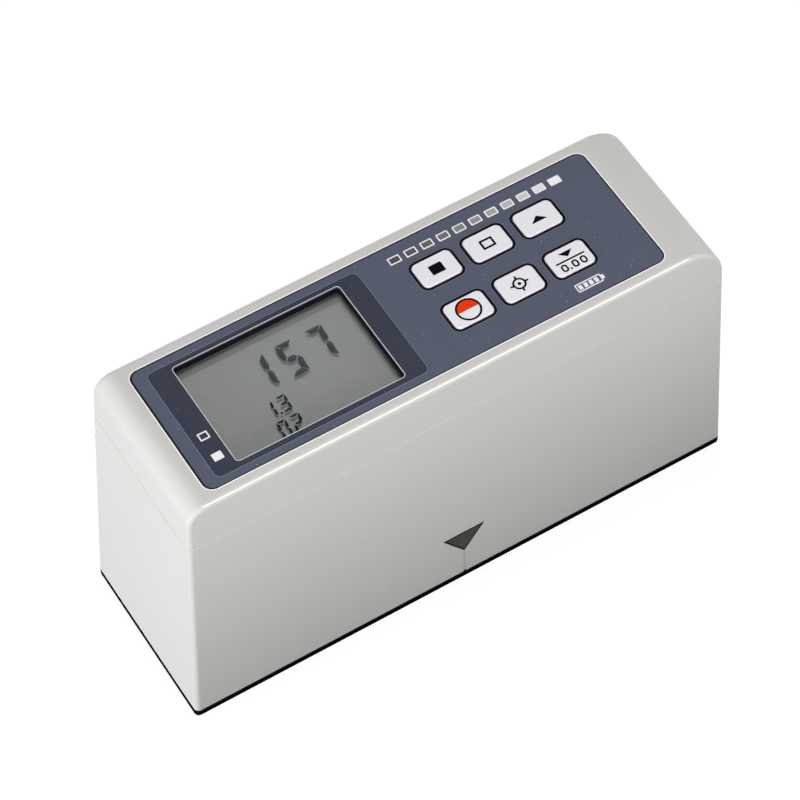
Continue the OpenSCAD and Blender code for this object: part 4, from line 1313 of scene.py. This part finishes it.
@dataclass
class Studio:
    """A pale floor, soft lamps and the camera at the photograph's angle."""

    lamps: tuple[Lamp, ...] = (
        Lamp("left_lamp", (-420.0, -10.0, 60.0), (-68.0, 0.0, 40.0), 260.0, 2.05,
             (0.985, 0.997, 1.015)),
        Lamp("top_lamp", (60.0, 120.0, 760.0), (0.0, 0.0, 75.0), 150.0, 2.25),
        Lamp("front_lamp", (10.0, -200.0, 130.0), (0.0, -20.0, 85.0), 90.0, 0.175, spread=90.0,
             stretch=4.4),
        Lamp("right_lamp", (430.0, 40.0, 60.0), (68.0, 0.0, 40.0), 200.0, 0.32),
        Lamp("rear_lamp", (120.0, 420.0, 60.0), (0.0, 22.0, 40.0), 160.0, 0.5),
    )
    camera_at: Place = (-233.735, -386.81, 697.57)
    right: Direction = (0.85226, -0.52304, -0.00868)
    up: Direction = (0.43477, 0.69902, 0.56777)
    back: Direction = (-0.29090, -0.48767, 0.82315)
    lens: float = 162.5
    sensor: float = 36.0
    nearest_m: float = 0.01
    farthest_m: float = 50.0
    floor_half: float = 6000.0
    floor_z: float = -0.05
    floor_glow: float = 0.9
    floor_catch: float = 0.16
    floor_bounce: float = 0.08
    sky: float = 0.2

    def build(self) -> None:
        """Makes the floor, the sky, the lamps and the camera."""
        bpy.context.scene.view_settings.view_transform = "Standard"
        self.build_floor()
        self.build_sky()
        for lamp in self.lamps:
            self.hang(lamp)
        self.set_camera()

    def build_floor(self) -> None:
        """Makes the pale floor, which keeps the soft shadow."""
        nodes = NodeTree(bpy.data.materials.new("pale_floor"))
        glow = nodes.add("Emission", Color=shade(WHITE), Strength=self.floor_glow)
        catch, plain = (nodes.add("BsdfDiffuse", Color=shade(WHITE, grey))
                        for grey in (self.floor_catch, self.floor_bounce))
        seen = nodes.fill("AddShader", glow.outputs[0], catch.outputs[0])
        both = nodes.fill("MixShader", nodes.sees_backdrop(), plain.outputs[0], seen.outputs[0])
        h = self.floor_half
        make = MeshMaker()
        make.bm.faces.new(make.level(bar(-h, -h, h, h), self.floor_z))
        floor = make.link("floor")
        floor.data.materials.append(nodes.show(both))

    def build_sky(self) -> None:
        """Makes the even sky, white where it is seen."""
        nodes = NodeTree(bpy.data.worlds.new("sky"))
        even, white = (nodes.add("Background", Color=shade(WHITE), Strength=strength)
                       for strength in (self.sky, 1.0))
        bpy.context.scene.world = nodes.show(nodes.fill(
            "MixShader", nodes.sees_backdrop(), even.outputs[0], white.outputs[0]))

    def hang(self, lamp: Lamp) -> None:
        """Hangs one soft lamp.

        Args:
            lamp: The lamp.
        """
        data = bpy.data.lights.new(lamp.name, "AREA")
        data.shape = "RECTANGLE"
        data.size = lamp.size * lamp.stretch * MM
        data.size_y = lamp.size * MM
        data.energy = lamp.power
        data.color = lamp.tint
        data.spread = math.radians(lamp.spread)
        place, aim = Vector(lamp.place) * MM, Vector(lamp.aim) * MM
        turn = (aim - place).to_track_quat("-Z", "Y").to_matrix().to_4x4()
        add_object(lamp.name, data).matrix_world = Matrix.Translation(place) @ turn

    def set_camera(self) -> None:
        """Sets the camera at the photograph's angle."""
        data = bpy.data.cameras.new("camera")
        data.sensor_width = self.sensor
        data.lens = self.lens
        data.clip_start = self.nearest_m
        data.clip_end = self.farthest_m
        camera = add_object("camera", data)
        turn = Matrix((self.right, self.up, self.back)).transposed().to_4x4()
        camera.matrix_world = Matrix.Translation(Vector(self.camera_at) * MM) @ turn
        bpy.context.scene.camera = camera


def write_sizes() -> None:
    """Brings the scene's placements up to date."""
    bpy.context.view_layer.update()


def main() -> None:
    """Builds the meter's sub-assemblies in order, then the studio."""
    logging.basicConfig(level=logging.INFO, format="%(name)s: %(message)s")
    housing, panel = Housing(), Panel()
    housing.build_body()
    housing.build_cover(panel)
    housing.build_mark()
    panel.build()
    Keys(panel).build()
    Display(panel).build()
    Underside().build()
    Studio().build()
    write_sizes()


if __name__ == "__main__":
    main()
